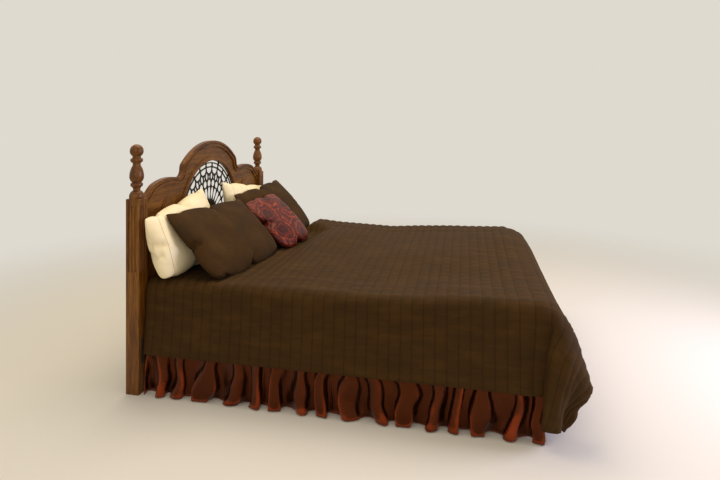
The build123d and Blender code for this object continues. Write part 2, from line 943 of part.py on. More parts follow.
for name, width, height, thickness, across, out, up, lean, turn, slope, pressed_by in pillow_table:
    t, tilt = math.radians(turn), math.radians(lean)
    plane = Plane(
        origin=(x_panel_front + out, across, quilt_top + up),
        x_dir=(math.sin(t), math.cos(t), 0),
        z_dir=(math.cos(tilt) * math.cos(t), -math.cos(tilt) * math.sin(t), math.sin(tilt)),
    )
    pressing[name] = pillow(
        width + 2 * seam_clear, height + 2 * seam_clear, thickness + 2 * touch, slope, plane
    )
    with BuildPart() as stuffed:
        add(pillow(width, height, thickness, slope, plane))
        add(bed_and_board.part, mode=Mode.SUBTRACT)
        for other in pressed_by:
            add(pressing[other], mode=Mode.SUBTRACT)
    whole = stuffed.part.solids().sort_by(SortBy.VOLUME)[-1]
    save(whole, name)
    print(name, len(stuffed.part.solids()), [round(v) for v in whole.bounding_box().center()])

print("overall length", round(overall_length), "quilt top", round(quilt_top, 1))
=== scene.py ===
"""A made-up queen bed with a carved headboard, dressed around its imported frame.

Metres, in the frame's own axes: +X from the head to the foot, +Y to the far side, +Z up.
"""

from __future__ import annotations

import json
import logging
import math
from collections.abc import Sequence
from dataclasses import dataclass
from enum import Enum

import bmesh
import bpy
import numpy as np
from mathutils import Matrix, Vector
from mathutils.bvhtree import BVHTree

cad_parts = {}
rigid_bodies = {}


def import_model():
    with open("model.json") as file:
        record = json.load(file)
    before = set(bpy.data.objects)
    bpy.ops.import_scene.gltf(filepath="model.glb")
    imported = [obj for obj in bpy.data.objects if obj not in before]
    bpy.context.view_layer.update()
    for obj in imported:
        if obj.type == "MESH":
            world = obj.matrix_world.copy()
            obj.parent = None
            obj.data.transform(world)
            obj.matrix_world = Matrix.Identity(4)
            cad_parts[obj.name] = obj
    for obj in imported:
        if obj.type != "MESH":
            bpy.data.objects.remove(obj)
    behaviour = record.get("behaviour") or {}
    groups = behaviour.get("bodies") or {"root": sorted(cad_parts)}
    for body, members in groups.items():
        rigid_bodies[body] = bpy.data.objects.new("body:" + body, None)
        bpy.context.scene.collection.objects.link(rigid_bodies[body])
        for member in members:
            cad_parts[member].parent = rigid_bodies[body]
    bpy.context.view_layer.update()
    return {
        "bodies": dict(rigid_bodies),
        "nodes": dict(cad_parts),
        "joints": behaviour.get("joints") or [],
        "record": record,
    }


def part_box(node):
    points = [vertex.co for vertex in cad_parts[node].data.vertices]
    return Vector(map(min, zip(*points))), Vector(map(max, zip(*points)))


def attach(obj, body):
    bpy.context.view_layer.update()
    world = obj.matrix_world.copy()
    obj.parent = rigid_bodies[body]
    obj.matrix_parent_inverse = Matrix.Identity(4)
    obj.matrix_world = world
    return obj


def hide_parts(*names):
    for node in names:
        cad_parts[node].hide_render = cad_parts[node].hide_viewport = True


LOG = logging.getLogger("queen_bed")
# The cloth's map lies flat, in metres
UV_NAME = "cloth"
CLOTH_MAP = {"uv_map": UV_NAME}
SKIRT_TREE = "gathered strip"
MM = 0.001
TINY = 1e-9
SMOOTH = {"interpolation_type": "SMOOTHSTEP"}
SQUARE = ((-1, -1, 0), (1, -1, 0), (1, 1, 0), (-1, 1, 0))

Tree = bpy.types.NodeTree
Piece = bpy.types.Object
Faces = list[tuple[int, ...]]
Band = tuple[float, float]
Table = tuple[Band, ...]
Place = tuple[float, float, float]


class GrainAxis(Enum):
    """Which way the wood's grain runs on a piece."""

    ACROSS = "y"
    UPRIGHT = "z"


class Held(Enum):
    """How a sheet of cloth is held, in the frame's own words."""

    DRAPED = "draped"
    GATHERED = "gathered"
    LAID = "laid"


# Nodes


def linear(code: str) -> tuple[float, ...]:
    """Turns an sRGB hex colour into linear light.

    Args:
        code: A colour such as "#6f3d1c".

    Returns:
        Red, green, blue and an alpha of one.
    """
    parts = [int(code[i : i + 2], 16) / 255 for i in (1, 3, 5)]
    light = [c / 12.92 if c <= 0.04045 else ((c + 0.055) / 1.055) ** 2.4 for c in parts]
    return (*light, 1.0)


def assign(thing: object, **values: object) -> None:
    """Sets several attributes of one thing."""
    for name, value in values.items():
        setattr(thing, name, value)


@dataclass(frozen=True)
class Output:
    """One output of a node, with arithmetic that adds a node for each step."""

    node: bpy.types.Node
    key: int | str = 0

    def pick(self, key: int | str) -> Output:
        """Another output of the same node, by name or number."""
        return Output(self.node, key)

    def then(self, operation: str, *others: Output | float) -> Output:
        """One step of arithmetic, with this value first."""
        values = dict(enumerate((self, *others)))
        return add_node(self.node.id_data, "ShaderNodeMath", {"operation": operation}, values)

    def __add__(self, other: Output | float) -> Output:
        """The sum."""
        return self.then("ADD", other)

    def __sub__(self, other: Output | float) -> Output:
        """The difference."""
        return self.then("SUBTRACT", other)

    def __rsub__(self, other: float) -> Output:
        """The difference from a number."""
        values = {0: other, 1: self}
        return add_node(self.node.id_data, "ShaderNodeMath", {"operation": "SUBTRACT"}, values)

    def __mul__(self, other: Output | float) -> Output:
        """The product."""
        return self.then("MULTIPLY", other)

    def __truediv__(self, other: Output | float) -> Output:
        """The quotient."""
        return self.then("DIVIDE", other)

    def __pow__(self, other: float) -> Output:
        """The power."""
        return self.then("POWER", other)


def feed(node: bpy.types.Node, inputs: dict) -> None:
    """Fills a node's inputs.

    Args:
        node: The node.
        inputs: For each input, by name or number, a value or an output to link from.
    """
    for key, value in inputs.items():
        if isinstance(value, Output):
            node.id_data.links.new(value.node.outputs[value.key], node.inputs[key])
        else:
            node.inputs[key].default_value = value


def add_node(
    tree: Tree, kind: str, settings: dict | None = None, inputs: dict | None = None
) -> Output:
    """Adds one node with its settings, values and links.

    Args:
        tree: The tree that it joins.
        kind: The node's type name.
        settings: Attribute values of the node, and "stops" for a colour ramp: pairs of
            place and hex colour.
        inputs: For each input, by name or number, a value or an output to link from.

    Returns:
        The node's first output.
    """
    node = tree.nodes.new(kind)
    settings = dict(settings or {})
    stops = settings.pop("stops", ())
    assign(node, **settings)
    if stops:
        elements = node.color_ramp.elements
        while len(elements) < len(stops):
            elements.new(0.5)
        for element, (place, code) in zip(elements, stops):
            assign(element, position=place, color=linear(code))
    feed(node, inputs or {})
    return Output(node)


def spots(
    tree: Tree, scale: Sequence[float], detail: float = 4.0, distortion: float = 0.0
) -> Output:
    """Soft spots, on the object's own coordinates or on the cloth's map.

    Args:
        tree: The tree that they join.
        scale: How many lie in a metre along X, Y and Z, or along the cloth's width and length.
        detail: How fine they break up.
        distortion: How far they are drawn about.

    Returns:
        Their value, from nought to one.
    """
    flat = len(scale) == 2
    if flat:
        place = add_node(tree, "ShaderNodeUVMap", CLOTH_MAP)
    else:
        place = add_node(tree, "ShaderNodeTexCoord").pick("Object")
    inputs = {"Vector": place, "Scale": (*scale, 1.0)[:3]}
    inputs = {
        "Vector": add_node(tree, "ShaderNodeMapping", inputs=inputs),
        "Scale": 1.0,
        "Detail": detail,
        "Distortion": distortion,
    }
    dimensions = "2D" if flat else "3D"
    return add_node(tree, "ShaderNodeTexNoise", {"noise_dimensions": dimensions}, inputs)


def weave(tree: Tree, thread: float) -> Output:
    """The height of a plain weave.

    Args:
        tree: The tree that it joins.
        thread: The spacing of the threads in metres.

    Returns:
        The height, from nought to about two.
    """
    # A wave texture repeats every 0.314 of its scaled length
    inputs = {"Scale": 0.314 / thread, "Distortion": 0.6, "Detail": 1.0}
    inputs["Vector"] = add_node(tree, "ShaderNodeUVMap", CLOTH_MAP)
    warp, weft = (
        add_node(tree, "ShaderNodeTexWave", {"bands_direction": way}, inputs).pick("Fac")
        for way in ("X", "Y")
    )
    return warp + weft


def relief(shader: bpy.types.Node, *layers: tuple[Output, float]) -> None:
    """Gives a surface its fine relief, in layers that lie on one another.

    Args:
        shader: The surface's shader.
        *layers: For each, from the lowest up, its height and its real depth in metres.
    """
    below = {}
    for height, depth in layers:
        inputs = {"Height": height, "Strength": 1.0, "Distance": depth, **below}
        below = {"Normal": add_node(shader.id_data, "ShaderNodeBump", inputs=inputs)}
    feed(shader, below)


# Finishes


@dataclass(frozen=True)
class Finish:
    """A finish with a name, made into a material by the classes below."""

    name: str

    def dress(self, tree: Tree, shader: bpy.types.Node) -> None:
        """Adds the finish's own nodes to the shader.

        Args:
            tree: The material's tree.
            shader: Its shader.
        """
        raise NotImplementedError

    def material(self) -> bpy.types.Material:
        """Makes the material, or gives back the one already made.

        Returns:
            The material.
        """
        found = bpy.data.materials.get(self.name)
        if found:
            return found
        made = bpy.data.materials.new(self.name)
        made.use_nodes = True
        self.dress(made.node_tree, made.node_tree.nodes["Principled BSDF"])
        return made


@dataclass(frozen=True)
class StainedHardwood(Finish):
    """Carved and turned hardwood, stained warm brown under a satin lacquer.

    The stain lies darker in the pores and the lacquer gives soft, long highlights.
    """

    grain: GrainAxis = GrainAxis.ACROSS
    dark: str = "#57300f"
    middle: str = "#774812"
    pale: str = "#92601f"
    # How many streaks, and how many pores, lie in a metre across the grain and along it
    streaks: tuple[float, float] = (26.0, 1.6)
    pores: tuple[float, float] = (420.0, 14.0)

    def along_grain(self, across: float, along: float) -> Place:
        """Numbers across and along the grain, as X, Y and Z."""
        upright = self.grain is GrainAxis.UPRIGHT
        return (across, across, along) if upright else (across, along, across)

    def dress(self, tree: Tree, shader: bpy.types.Node) -> None:
        """Adds figure, pores and lacquer.

        Args:
            tree: The material's tree.
            shader: Its shader.
        """
        figure = spots(tree, self.along_grain(*self.streaks), 5.0, 0.8)
        stops = ((0.28, self.dark), (0.5, self.middle), (0.76, self.pale))
        colour = add_node(tree, "ShaderNodeValToRGB", {"stops": stops}, {"Fac": figure})
        pores = spots(tree, self.along_grain(*self.pores), 3.0)
        stops = ((0.35, "#8a8a8a"), (0.6, "#ffffff"))
        shade = add_node(tree, "ShaderNodeValToRGB", {"stops": stops}, {"Fac": pores})
        mixed = add_node(
            tree,
            "ShaderNodeMix",
            {"data_type": "RGBA", "blend_type": "MULTIPLY"},
            {"Factor": 0.8, 6: colour, 7: shade},
        )
        gloss = {"Value": figure, "To Min": 0.3, "To Max": 0.44}
        feed(
            shader,
            {
                "Base Color": mixed.pick(2),
                "Roughness": add_node(tree, "ShaderNodeMapRange", inputs=gloss),
                "Specular IOR Level": 0.25,
                "Coat Weight": 0.1,
                "Coat Roughness": 0.25,
            },
        )
        relief(shader, (pores, 0.12 * MM))


@dataclass(frozen=True)
class FineCoat(Finish):
    """Paint, plating or a moulded face: even, with a fine grain of two shades."""

    # How many spots of the grain lie in a metre, and how fine they break up
    grain: float
    detail: float
    stops: tuple[tuple[float, str], ...]
    metallic: float
    roughness: float
    depth: float = 0.0

    def dress(self, tree: Tree, shader: bpy.types.Node) -> None:
        """Adds the grain.

        Args:
            tree: The material's tree.
            shader: Its shader.
        """
        grain = spots(tree, [self.grain] * 3, self.detail)
        colour = add_node(tree, "ShaderNodeValToRGB", {"stops": self.stops}, {"Fac": grain})
        values = {"Metallic": self.metallic, "Roughness": self.roughness}
        feed(shader, {"Base Color": colour, **values})
        if self.depth:
            relief(shader, (grain, self.depth))


@dataclass(frozen=True)
class QuiltedCotton(Finish):
    """Brushed cotton, dark olive brown, sewn in channels with short cross rows.

    The nap gives a soft sheen at the edges, and the sewn lines lie in shadow.
    """

    channel: float = 0.054
    row: float = 0.06
    dark: str = "#36240a"
    middle: str = "#3d280b"
    pale: str = "#462f10"
    # How wide a sewn line's shadow is, and how much light reaches it
    seam: float = 5 * MM
    channel_light: float = 0.7
    row_light: float = 0.88

    def dress(self, tree: Tree, shader: bpy.types.Node) -> None:
        """Adds nap, sewn lines and weave.

        Args:
            tree: The material's tree.
            shader: Its shader.
        """
        stops = ((0.2, self.dark), (0.5, self.middle), (0.8, self.pale))
        nap = spots(tree, (22.0, 5.0), 6.0)
        colour = add_node(tree, "ShaderNodeValToRGB", {"stops": stops}, {"Fac": nap})
        cloth = add_node(tree, "ShaderNodeUVMap", CLOTH_MAP)
        place = add_node(tree, "ShaderNodeSeparateXYZ", inputs={"Vector": cloth})
        along = place.pick("Y")
        # The cross rows of neighbouring channels lie half a pitch apart
        number = (along / self.channel).then("FLOOR")
        shifted = number.then("MULTIPLY_ADD", self.row / 2, place.pick("X"))
        channels, rows = (
            add_node(
                tree,
                "ShaderNodeMapRange",
                SMOOTH,
                {
                    "Value": way.then("PINGPONG", pitch / 2),
                    "From Max": self.seam,
                    "To Min": light,
                },
            )
            for way, pitch, light in (
                (along, self.channel, self.channel_light),
                (shifted, self.row, self.row_light),
            )
        )
        inputs = {0: colour, "Scale": channels * rows}
        feed(
            shader,
            {
                "Base Color": add_node(
                    tree, "ShaderNodeVectorMath", {"operation": "SCALE"}, inputs
                ),
                "Roughness": 0.75,
                "Sheen Weight": 0.03,
                "Sheen Roughness": 0.35,
                "Sheen Tint": linear("#b9a9a0"),
                "Specular IOR Level": 0.12,
            },
        )
        # Threads are 0.4 mm apart, drawn at 2.4 mm so that they show
        woven = weave(tree, 2.4 * MM)
        # Fine puckers run off the sewn lines, along the bed
        puckers = spots(tree, (70.0, 14.0))
        relief(shader, (woven, 0.12 * MM), (puckers, 1.6 * MM))


@dataclass(frozen=True)
class CreasedCotton(Finish):
    """Brushed or plain cotton with fine creases that run across the cover.

    The nap scatters light, so it looks soft and has no highlights.
    """

    dark: str = "#2e1f08"
    middle: str = "#392409"
    pale: str = "#442e10"
    crease: float = 1.6 * MM
    # Where a hem is sewn across the cover, from its middle, or none
    hem: float | None = None
    hem_line: float = 3 * MM

    def dress(self, tree: Tree, shader: bpy.types.Node) -> None:
        """Adds nap, weave, creases and the hem.

        Args:
            tree: The material's tree.
            shader: Its shader.
        """
        stops = ((0.25, self.dark), (0.5, self.middle), (0.78, self.pale))
        nap = spots(tree, (7.0, 7.0), 6.0)
        colour = add_node(tree, "ShaderNodeValToRGB", {"stops": stops}, {"Fac": nap})
        # Threads are 0.3 mm apart, drawn at 2 mm so that they show
        layers = [(weave(tree, 2.0 * MM), 0.08 * MM)]
        layers.append((spots(tree, (6.0, 70.0), 5.0), self.crease))
        if self.hem is not None:
            # The hem's doubled cloth ends in a line
            cloth = add_node(tree, "ShaderNodeUVMap", CLOTH_MAP)
            place = add_node(tree, "ShaderNodeSeparateXYZ", inputs={"Vector": cloth})
            off = (place.pick("X") - self.hem).then("ABSOLUTE")
            inputs = {"Value": off, "From Max": self.hem_line}
            line = add_node(tree, "ShaderNodeMapRange", SMOOTH, inputs)
            layers.append((line, 1.2 * MM))
            stops = ((0.0, "#c9c2b4"), (0.9, "#ffffff"))
            shade = add_node(tree, "ShaderNodeValToRGB", {"stops": stops}, {"Fac": line})
            colour = add_node(
                tree,
                "ShaderNodeMix",
                {"data_type": "RGBA", "blend_type": "MULTIPLY"},
                {"Factor": 1.0, 6: colour, 7: shade},
            ).pick(2)
        feed(
            shader,
            {
                "Base Color": colour,
                "Roughness": 0.8,
                "Sheen Weight": 0.03,
                "Sheen Roughness": 0.4,
                "Specular IOR Level": 0.12,
            },
        )
        relief(shader, *layers)


@dataclass(frozen=True)
class BurgundySatin(Finish):
    """Burgundy satin of long float threads, with a painted highlight on its fold tops and painted
    shade in their hollows.
    """

    dark: str = "#130802"
    middle: str = "#200e05"
    pale: str = "#3a1709"
    # The colour of the painted highlight on the tops of the folds
    painted_crest_highlight: str = "#8a3718"
    float_tint_and_painted_glints: str = "#ff8a55"

    def dress(self, tree: Tree, shader: bpy.types.Node) -> None:
        """Adds the painted highlight on the tops of the folds, painted shade in their hollows and
        fine creases down the drop.

        Args:
            tree: The material's tree.
            shader: Its shader.
        """
        # Flat cloth bends by a half, the hollow of a fold by less and its top by more; the colour
        # follows this as painted shade in the hollows and a painted highlight on the tops
        bend = add_node(tree, "ShaderNodeNewGeometry").pick("Pointiness")
        inputs = {"Value": bend, "From Min": 0.47, "From Max": 0.56}
        raised = add_node(tree, "ShaderNodeMapRange", inputs=inputs)
        inputs = {"Factor": 0.3, "A": raised, "B": spots(tree, (14.0, 5.0))}
        painted_shine = add_node(tree, "ShaderNodeMix", inputs=inputs)
        # From the hollows to the tops of the folds the ramp runs from painted shade to the painted
        # highlight
        stops = ((0.2, self.dark), (0.5, self.middle), (0.72, self.pale), (0.94, self.painted_crest_highlight))
        colour = add_node(tree, "ShaderNodeValToRGB", {"stops": stops}, {"Fac": painted_shine})
        # The floats reflect in the cloth's own colour
        tint = {"Specular Tint": linear(self.float_tint_and_painted_glints), "Specular IOR Level": 0.75}
        feed(shader, {"Base Color": colour, "Roughness": 0.24, **tint})
        relief(shader, (spots(tree, (95.0, 9.0)), 1.5 * MM))


@dataclass(frozen=True)
class CrimsonDamask(Finish):
    """Crimson damask with flowers and scrolls, and short strokes painted paler over it as painted
    glints.
    """

    dark: str = "#2b0804"
    ground: str = "#4f1209"
    figure: str = "#74200e"
    # The palest colour, reached only where the painted glints brighten the pattern: a painted
    # highlight
    light: str = "#b4592f"
    # How many flowers, scrolls and strokes of painted glint lie in a metre
    flowers: float = 6.5
    scrolls: float = 26.0
    strokes: float = 150.0
    # How far scrolls bend the flowers, in metres
    bent_by: float = 0.05
    # How close petals and curls follow one another, and how much each shows
    petal_rate: float = 30.0
    curl_rate: float = 40.0
    petal_share: float = 0.22
    curl_share: float = 0.2
    # The tone that they vary about
    tone: float = 0.42

    def dress(self, tree: Tree, shader: bpy.types.Node) -> None:
        """Adds flowers of bent rings, scrolls between them and painted glints in short strokes.

        Args:
            tree: The material's tree.
            shader: Its shader.
        """
        place = add_node(tree, "ShaderNodeUVMap", CLOTH_MAP)
        bend, scroll, painted_glint_noise = (
            add_node(
                tree,
                "ShaderNodeTexNoise",
                {"noise_dimensions": "2D"},
                {"Vector": place, "Scale": scale, "Detail": detail, "Distortion": distortion},
            )
            for scale, detail, distortion in (
                (self.scrolls, 3.0, 0.0),
                (self.scrolls, 2.0, 1.2),
                (self.strokes, 2.0, 0.0),
            )
        )
        inputs = {0: bend.pick("Color"), 1: (self.bent_by, self.bent_by, 0.0), 2: place}
        bent = add_node(tree, "ShaderNodeVectorMath", {"operation": "MULTIPLY_ADD"}, inputs)
        flowers = add_node(
            tree,
            "ShaderNodeTexVoronoi",
            {"voronoi_dimensions": "2D", "feature": "F1"},
            {"Vector": bent, "Scale": self.flowers},
        )
        petals = (flowers * self.petal_rate).then("SINE")
        curls = (scroll * self.curl_rate).then("SINE")
        scrolled = curls.then("MULTIPLY_ADD", self.curl_share, self.tone)
        pattern = petals.then("MULTIPLY_ADD", self.petal_share, scrolled)
        # Each flower's middle lies dark, and short strokes are painted paler as painted glints
        inputs = {"Value": flowers, "From Max": 0.5, "To Min": 0.35}
        heart = add_node(tree, "ShaderNodeMapRange", SMOOTH, inputs)
        limits = {"From Min": 0.3, "From Max": 0.7, "To Min": 0.55, "To Max": 1.3}
        float_tint_and_painted_glints = add_node(tree, "ShaderNodeMapRange", inputs={"Value": painted_glint_noise, **limits})
        # The painted glints lift the pattern's tone in short strokes
        tone = pattern * heart * float_tint_and_painted_glints
        stops = ((0.08, self.dark), (0.32, self.ground), (0.6, self.figure), (0.95, self.light))
        colour = add_node(tree, "ShaderNodeValToRGB", {"stops": stops}, {"Fac": tone})
        feed(shader, {"Base Color": colour, "Roughness": 0.5, "Specular IOR Level": 0.25})
        relief(shader, (tone, 0.5 * MM), (spots(tree, (40.0, 40.0)), 0.8 * MM))


@dataclass(frozen=True)
class WovenTicking(Finish):
    """Cream ticking with thin woven stripes, as mattress covers have."""

    ground: str = "#d8cdb4"
    stripe: str = "#a89a7f"
    pitch: float = 0.04

    def dress(self, tree: Tree, shader: bpy.types.Node) -> None:
        """Adds stripes and weave.

        Args:
            tree: The material's tree.
            shader: Its shader.
        """
        cloth = add_node(tree, "ShaderNodeUVMap", CLOTH_MAP)
        place = add_node(tree, "ShaderNodeSeparateXYZ", inputs={"Vector": cloth})
        off = place.pick("X").then("PINGPONG", self.pitch / 2)
        inputs = {"Value": off, "From Min": 1.5 * MM, "From Max": 2.5 * MM}
        line = add_node(tree, "ShaderNodeMapRange", inputs=inputs)
        stops = ((0.0, self.stripe), (1.0, self.ground))
        colour = add_node(tree, "ShaderNodeValToRGB", {"stops": stops}, {"Fac": line})
        feed(shader, {"Base Color": colour, "Roughness": 0.85, "Sheen Weight": 0.1})
        relief(shader, (weave(tree, 2.0 * MM), 0.1 * MM))


@dataclass(frozen=True)
class PlainMuslin(Finish):
    """Unbleached muslin, thin, matt and slightly uneven in tone."""

    colour: str = "#cbbfa3"
    dark: str = "#b9ad92"

    def dress(self, tree: Tree, shader: bpy.types.Node) -> None:
        """Adds tone and weave.

        Args:
            tree: The material's tree.
            shader: Its shader.
        """
        stops = ((0.3, self.dark), (0.7, self.colour))
        tone = spots(tree, (12.0, 12.0), 5.0)
        colour = add_node(tree, "ShaderNodeValToRGB", {"stops": stops}, {"Fac": tone})
        feed(shader, {"Base Color": colour, "Roughness": 0.88})
        relief(shader, (weave(tree, 2.0 * MM), 0.1 * MM))


WOOD_ACROSS = StainedHardwood("stained hardwood, grain across", GrainAxis.ACROSS)
WOOD_UPRIGHT = StainedHardwood("stained hardwood, grain upright", GrainAxis.UPRIGHT)
# Hand-worked iron under black paint, uneven over about 9 mm
IRON = FineCoat(
    "black painted iron", 110.0, 3.0, ((0.35, "#1b1613"), (0.8, "#342a22")), 0.55, 0.5, 0.3 * MM
)
# Rolled steel angle under powder coat, with its fine orange peel about 2 mm across
COATED = FineCoat(
    "brown powder-coated steel",
    480.0,
    2.0,
    ((0.2, "#2b2119"), (0.7, "#35291f")),
    0.0,
    0.48,
    0.08 * MM,
)
# Zinc-plated steel, grey with a faint spangle about 3 mm across
ZINC = FineCoat(
    "zinc-plated steel", 330.0, 2.0, ((0.3, "#8f8d84"), (0.7, "#a9a79c")), 1.0, 0.36
)
# Moulded nylon, matt, scuffed paler where it slides
NYLON = FineCoat(
    "moulded black nylon", 90.0, 5.0, ((0.55, "#191614"), (0.8, "#3b3632")), 0.0, 0.62
)
QUILTING = QuiltedCotton("quilted brushed cotton")
SHAM = CreasedCotton("brushed cotton sham")
PILLOWCASE = CreasedCotton(
    "off-white cotton pillowcase", "#e8d9b0", "#f3e4bd", "#f9edcc", 1.0 * MM, -0.23
)
SATIN = BurgundySatin("burgundy satin")
DAMASK = CrimsonDamask("crimson damask")
TICKING = WovenTicking("woven ticking")
MUSLIN = PlainMuslin("unbleached muslin")

# Meshes


def grid_faces(rows: int, columns: int, first: int = 0, turned: bool = False) -> Faces:
    """The four-sided faces of a grid of points.

    Args:
        rows: How many rows of points.
        columns: How many points in a row.
        first: The number of the first point.
        turned: Whether the faces look the other way.

    Returns:
        One tuple of point numbers for each face.
    """
    corners = (0, columns, columns + 1, 1)
    corners = corners[::-1] if turned else corners
    starts = (first + i * columns + j for i in range(rows - 1) for j in range(columns - 1))
    return [tuple(start + corner for corner in corners) for start in starts]


def scene_object(name: str, data: bpy.types.ID | None) -> Piece:
    """Adds an object to the scene, at the origin.

    Args:
        name: Its name.
        data: Its mesh, camera or light.

    Returns:
        The object.
    """
    made = bpy.data.objects.new(name, data)
    bpy.context.scene.collection.objects.link(made)
    return made


def mesh_object(name: str, points: Sequence, faces: Sequence) -> Piece:
    """Adds a mesh to the scene.

    Args:
        name: Its name.
        points: Its points.
        faces: Its faces' point numbers.

    Returns:
        The object.
    """
    mesh = bpy.data.meshes.new(name)
    mesh.from_pydata(np.asarray(points, dtype=float).tolist(), [], list(faces))
    return scene_object(name, mesh)


def smooth_faces(mesh: bpy.types.Mesh) -> None:
    """Shades every face smooth."""
    mesh.polygons.foreach_set("use_smooth", np.ones(len(mesh.polygons), dtype=bool))


def cloth_object(
    name: str, points: np.ndarray, faces: Faces, flat: np.ndarray, finish: Finish
) -> Piece:
    """Makes a smooth mesh with a map in metres.

    Args:
        name: The piece's name.
        points: One row of X, Y, Z for each point.
        faces: The faces' point numbers.
        flat: One row of width and length on the flat cloth for each point.
        finish: The piece's finish.

    Returns:
        The new object, at the origin.
    """
    piece = mesh_object(name, points, faces)
    mesh = piece.data
    layer = mesh.uv_layers.new(name=UV_NAME)
    loops = np.zeros(len(mesh.loops), dtype=np.int32)
    mesh.loops.foreach_get("vertex_index", loops)
    layer.data.foreach_set("uv", np.asarray(flat)[loops].astype(np.float32).ravel())
    smooth_faces(mesh)
    mesh.update()
    mesh.materials.append(finish.material())
    return piece


def mesh_points(mesh: bpy.types.Mesh) -> np.ndarray:
    """Reads a mesh's points.

    Args:
        mesh: The mesh.

    Returns:
        One row of X, Y, Z for each point.
    """
    points = np.zeros(len(mesh.vertices) * 3)
    mesh.vertices.foreach_get("co", points)
    return points.reshape(-1, 3)


def bake_modifiers(piece: Piece) -> Piece:
    """Turns a piece's modifiers into its mesh.

    Args:
        piece: The object.

    Returns:
        The same object with a plain mesh and no modifiers.
    """
    graph = bpy.context.evaluated_depsgraph_get()
    mesh = bpy.data.meshes.new_from_object(
        piece.evaluated_get(graph), preserve_all_data_layers=True, depsgraph=graph
    )
    piece.modifiers.clear()
    old, piece.data = piece.data, mesh
    mesh.name = piece.name
    bpy.data.meshes.remove(old)
    return piece


def thicken(piece: Piece, thickness: float, offset: float) -> None:
    """Gives a thin sheet its thickness.

    Args:
        piece: The sheet.
        thickness: The cloth's thickness.
        offset: Which side it grows to, from -1 to 1.
    """
    solidify = piece.modifiers.new("cloth", "SOLIDIFY")
    assign(solidify, thickness=thickness, offset=offset)
    bake_modifiers(piece)


def start_tree(name: str, **inputs: str) -> tuple[Tree, Output]:
    """Starts a tree of Geometry Nodes with named inputs.

    Args:
        name: The tree's name.
        **inputs: Each input's name, with its kind such as "Float".

    Returns:
        The tree and the output of its given values.
    """
    tree = bpy.data.node_groups.new(name, "GeometryNodeTree")
    for label, kind in inputs.items():
        tree.interface.new_socket(label, in_out="INPUT", socket_type=f"NodeSocket{kind}")
    tree.interface.new_socket("Geometry", in_out="OUTPUT", socket_type="NodeSocketGeometry")
    return tree, add_node(tree, "NodeGroupInput")


def end_tree(tree: Tree, geometry: Output, material: Output) -> Tree:
    """Ends a tree with real, dressed geometry.

    Args:
        tree: The tree.
        geometry: What it makes.
        material: What that is dressed in.

    Returns:
        The tree.
    """
    real = add_node(tree, "GeometryNodeRealizeInstances", inputs={"Geometry": geometry})
    inputs = {"Geometry": real, "Material": material}
    dressed = add_node(tree, "GeometryNodeSetMaterial", inputs=inputs)
    add_node(tree, "NodeGroupOutput", inputs={"Geometry": dressed})
    return tree


def grown(name: str, points: Sequence, tree: Tree, **values: object) -> Piece:
    """Runs a tree of Geometry Nodes and keeps what it makes as a plain mesh.

    Args:
        name: The piece's name.
        points: The loose points that the tree is given.
        tree: The tree.
        **values: The tree's inputs.

    Returns:
        The piece.
    """
    piece = mesh_object(name, points, [])
    modifier = piece.modifiers.new("nodes", "NODES")
    modifier.node_group = tree
    for item in tree.interface.items_tree:
        if item.in_out == "INPUT" and item.name in values:
            modifier[item.identifier] = values[item.name]
    return bake_modifiers(piece)


def curve_weights(places: np.ndarray, count: int) -> np.ndarray:
    """The weights that read a smooth curve through evenly spaced points.

    Args:
        places: Where to read, in steps from the first point.
        count: How many points there are.

    Returns:
        A matrix with one row for each place.
    """
    weights = np.zeros((len(places), count))
    for row, place in zip(weights, places):
        base = min(int(place), count - 2)
        t = place - base
        four = (
            -0.5 * t + t * t - 0.5 * t**3,
            1 - 2.5 * t * t + 1.5 * t**3,
            0.5 * t + 2 * t * t - 1.5 * t**3,
            -0.5 * t * t + 0.5 * t**3,
        )
        for index, weight in enumerate(four, base - 1):
            if 0 <= index < count:
                row[index] += weight
            else:
                # Past an end the curve runs on straight
                end, inner = (0, 1) if index < 0 else (-1, -2)
                row[end] += 2 * weight
                row[inner] -= weight
    return weights


def smooth_noise(rows: np.ndarray, columns: np.ndarray, size: float, seed: int) -> np.ndarray:
    """Soft random heights over a sheet, about one unit high.

    Args:
        rows: The rows' places in metres.
        columns: The columns' places in metres.
        size: How far apart the humps lie, in metres.
        seed: What the draws start from.

    Returns:
        One height for each row and column.
    """
    counts = [int((places.max() - places.min()) / size) + 3 for places in (rows, columns)]
    knots = np.random.default_rng(seed).normal(0.0, 0.6, counts)
    read_r, read_c = (
        curve_weights((places - places.min()) / size + 0.5, count)
        for places, count in zip((rows, columns), counts)
    )
    return read_r @ knots @ read_c.T


def smooth_step(values: np.ndarray, low: float, high: float) -> np.ndarray:
    """Rises smoothly from nought at the low limit to one at the high limit."""
    share = np.clip((values - low) / (high - low), 0, 1)
    return share * share * (3 - 2 * share)


def rounded_ring(
    low: Sequence[float], high: Sequence[float], radius: float, count: int
) -> tuple[np.ndarray, np.ndarray]:
    """A rectangle with rounded corners, as points that run round it.

    Args:
        low: Its lowest X and Y.
        high: Its highest X and Y.
        radius: The corners' radius.
        count: How many points a corner has.

    Returns:
        The points, at a height of nought, and the ways out of them.
    """
    points, outs = [], []
    for quarter, (sx, sy) in enumerate(((1, 1), (-1, 1), (-1, -1), (1, -1))):
        x = (high if sx > 0 else low)[0] - sx * radius
        y = (high if sy > 0 else low)[1] - sy * radius
        for k in range(count):
            angle = math.radians(90 * quarter + 90 * k / (count - 1))
            outs.append((math.cos(angle), math.sin(angle), 0.0))
            points.append((x + radius * outs[-1][0], y + radius * outs[-1][1], 0.0))
    return np.array(points), np.array(outs)


# Cloth


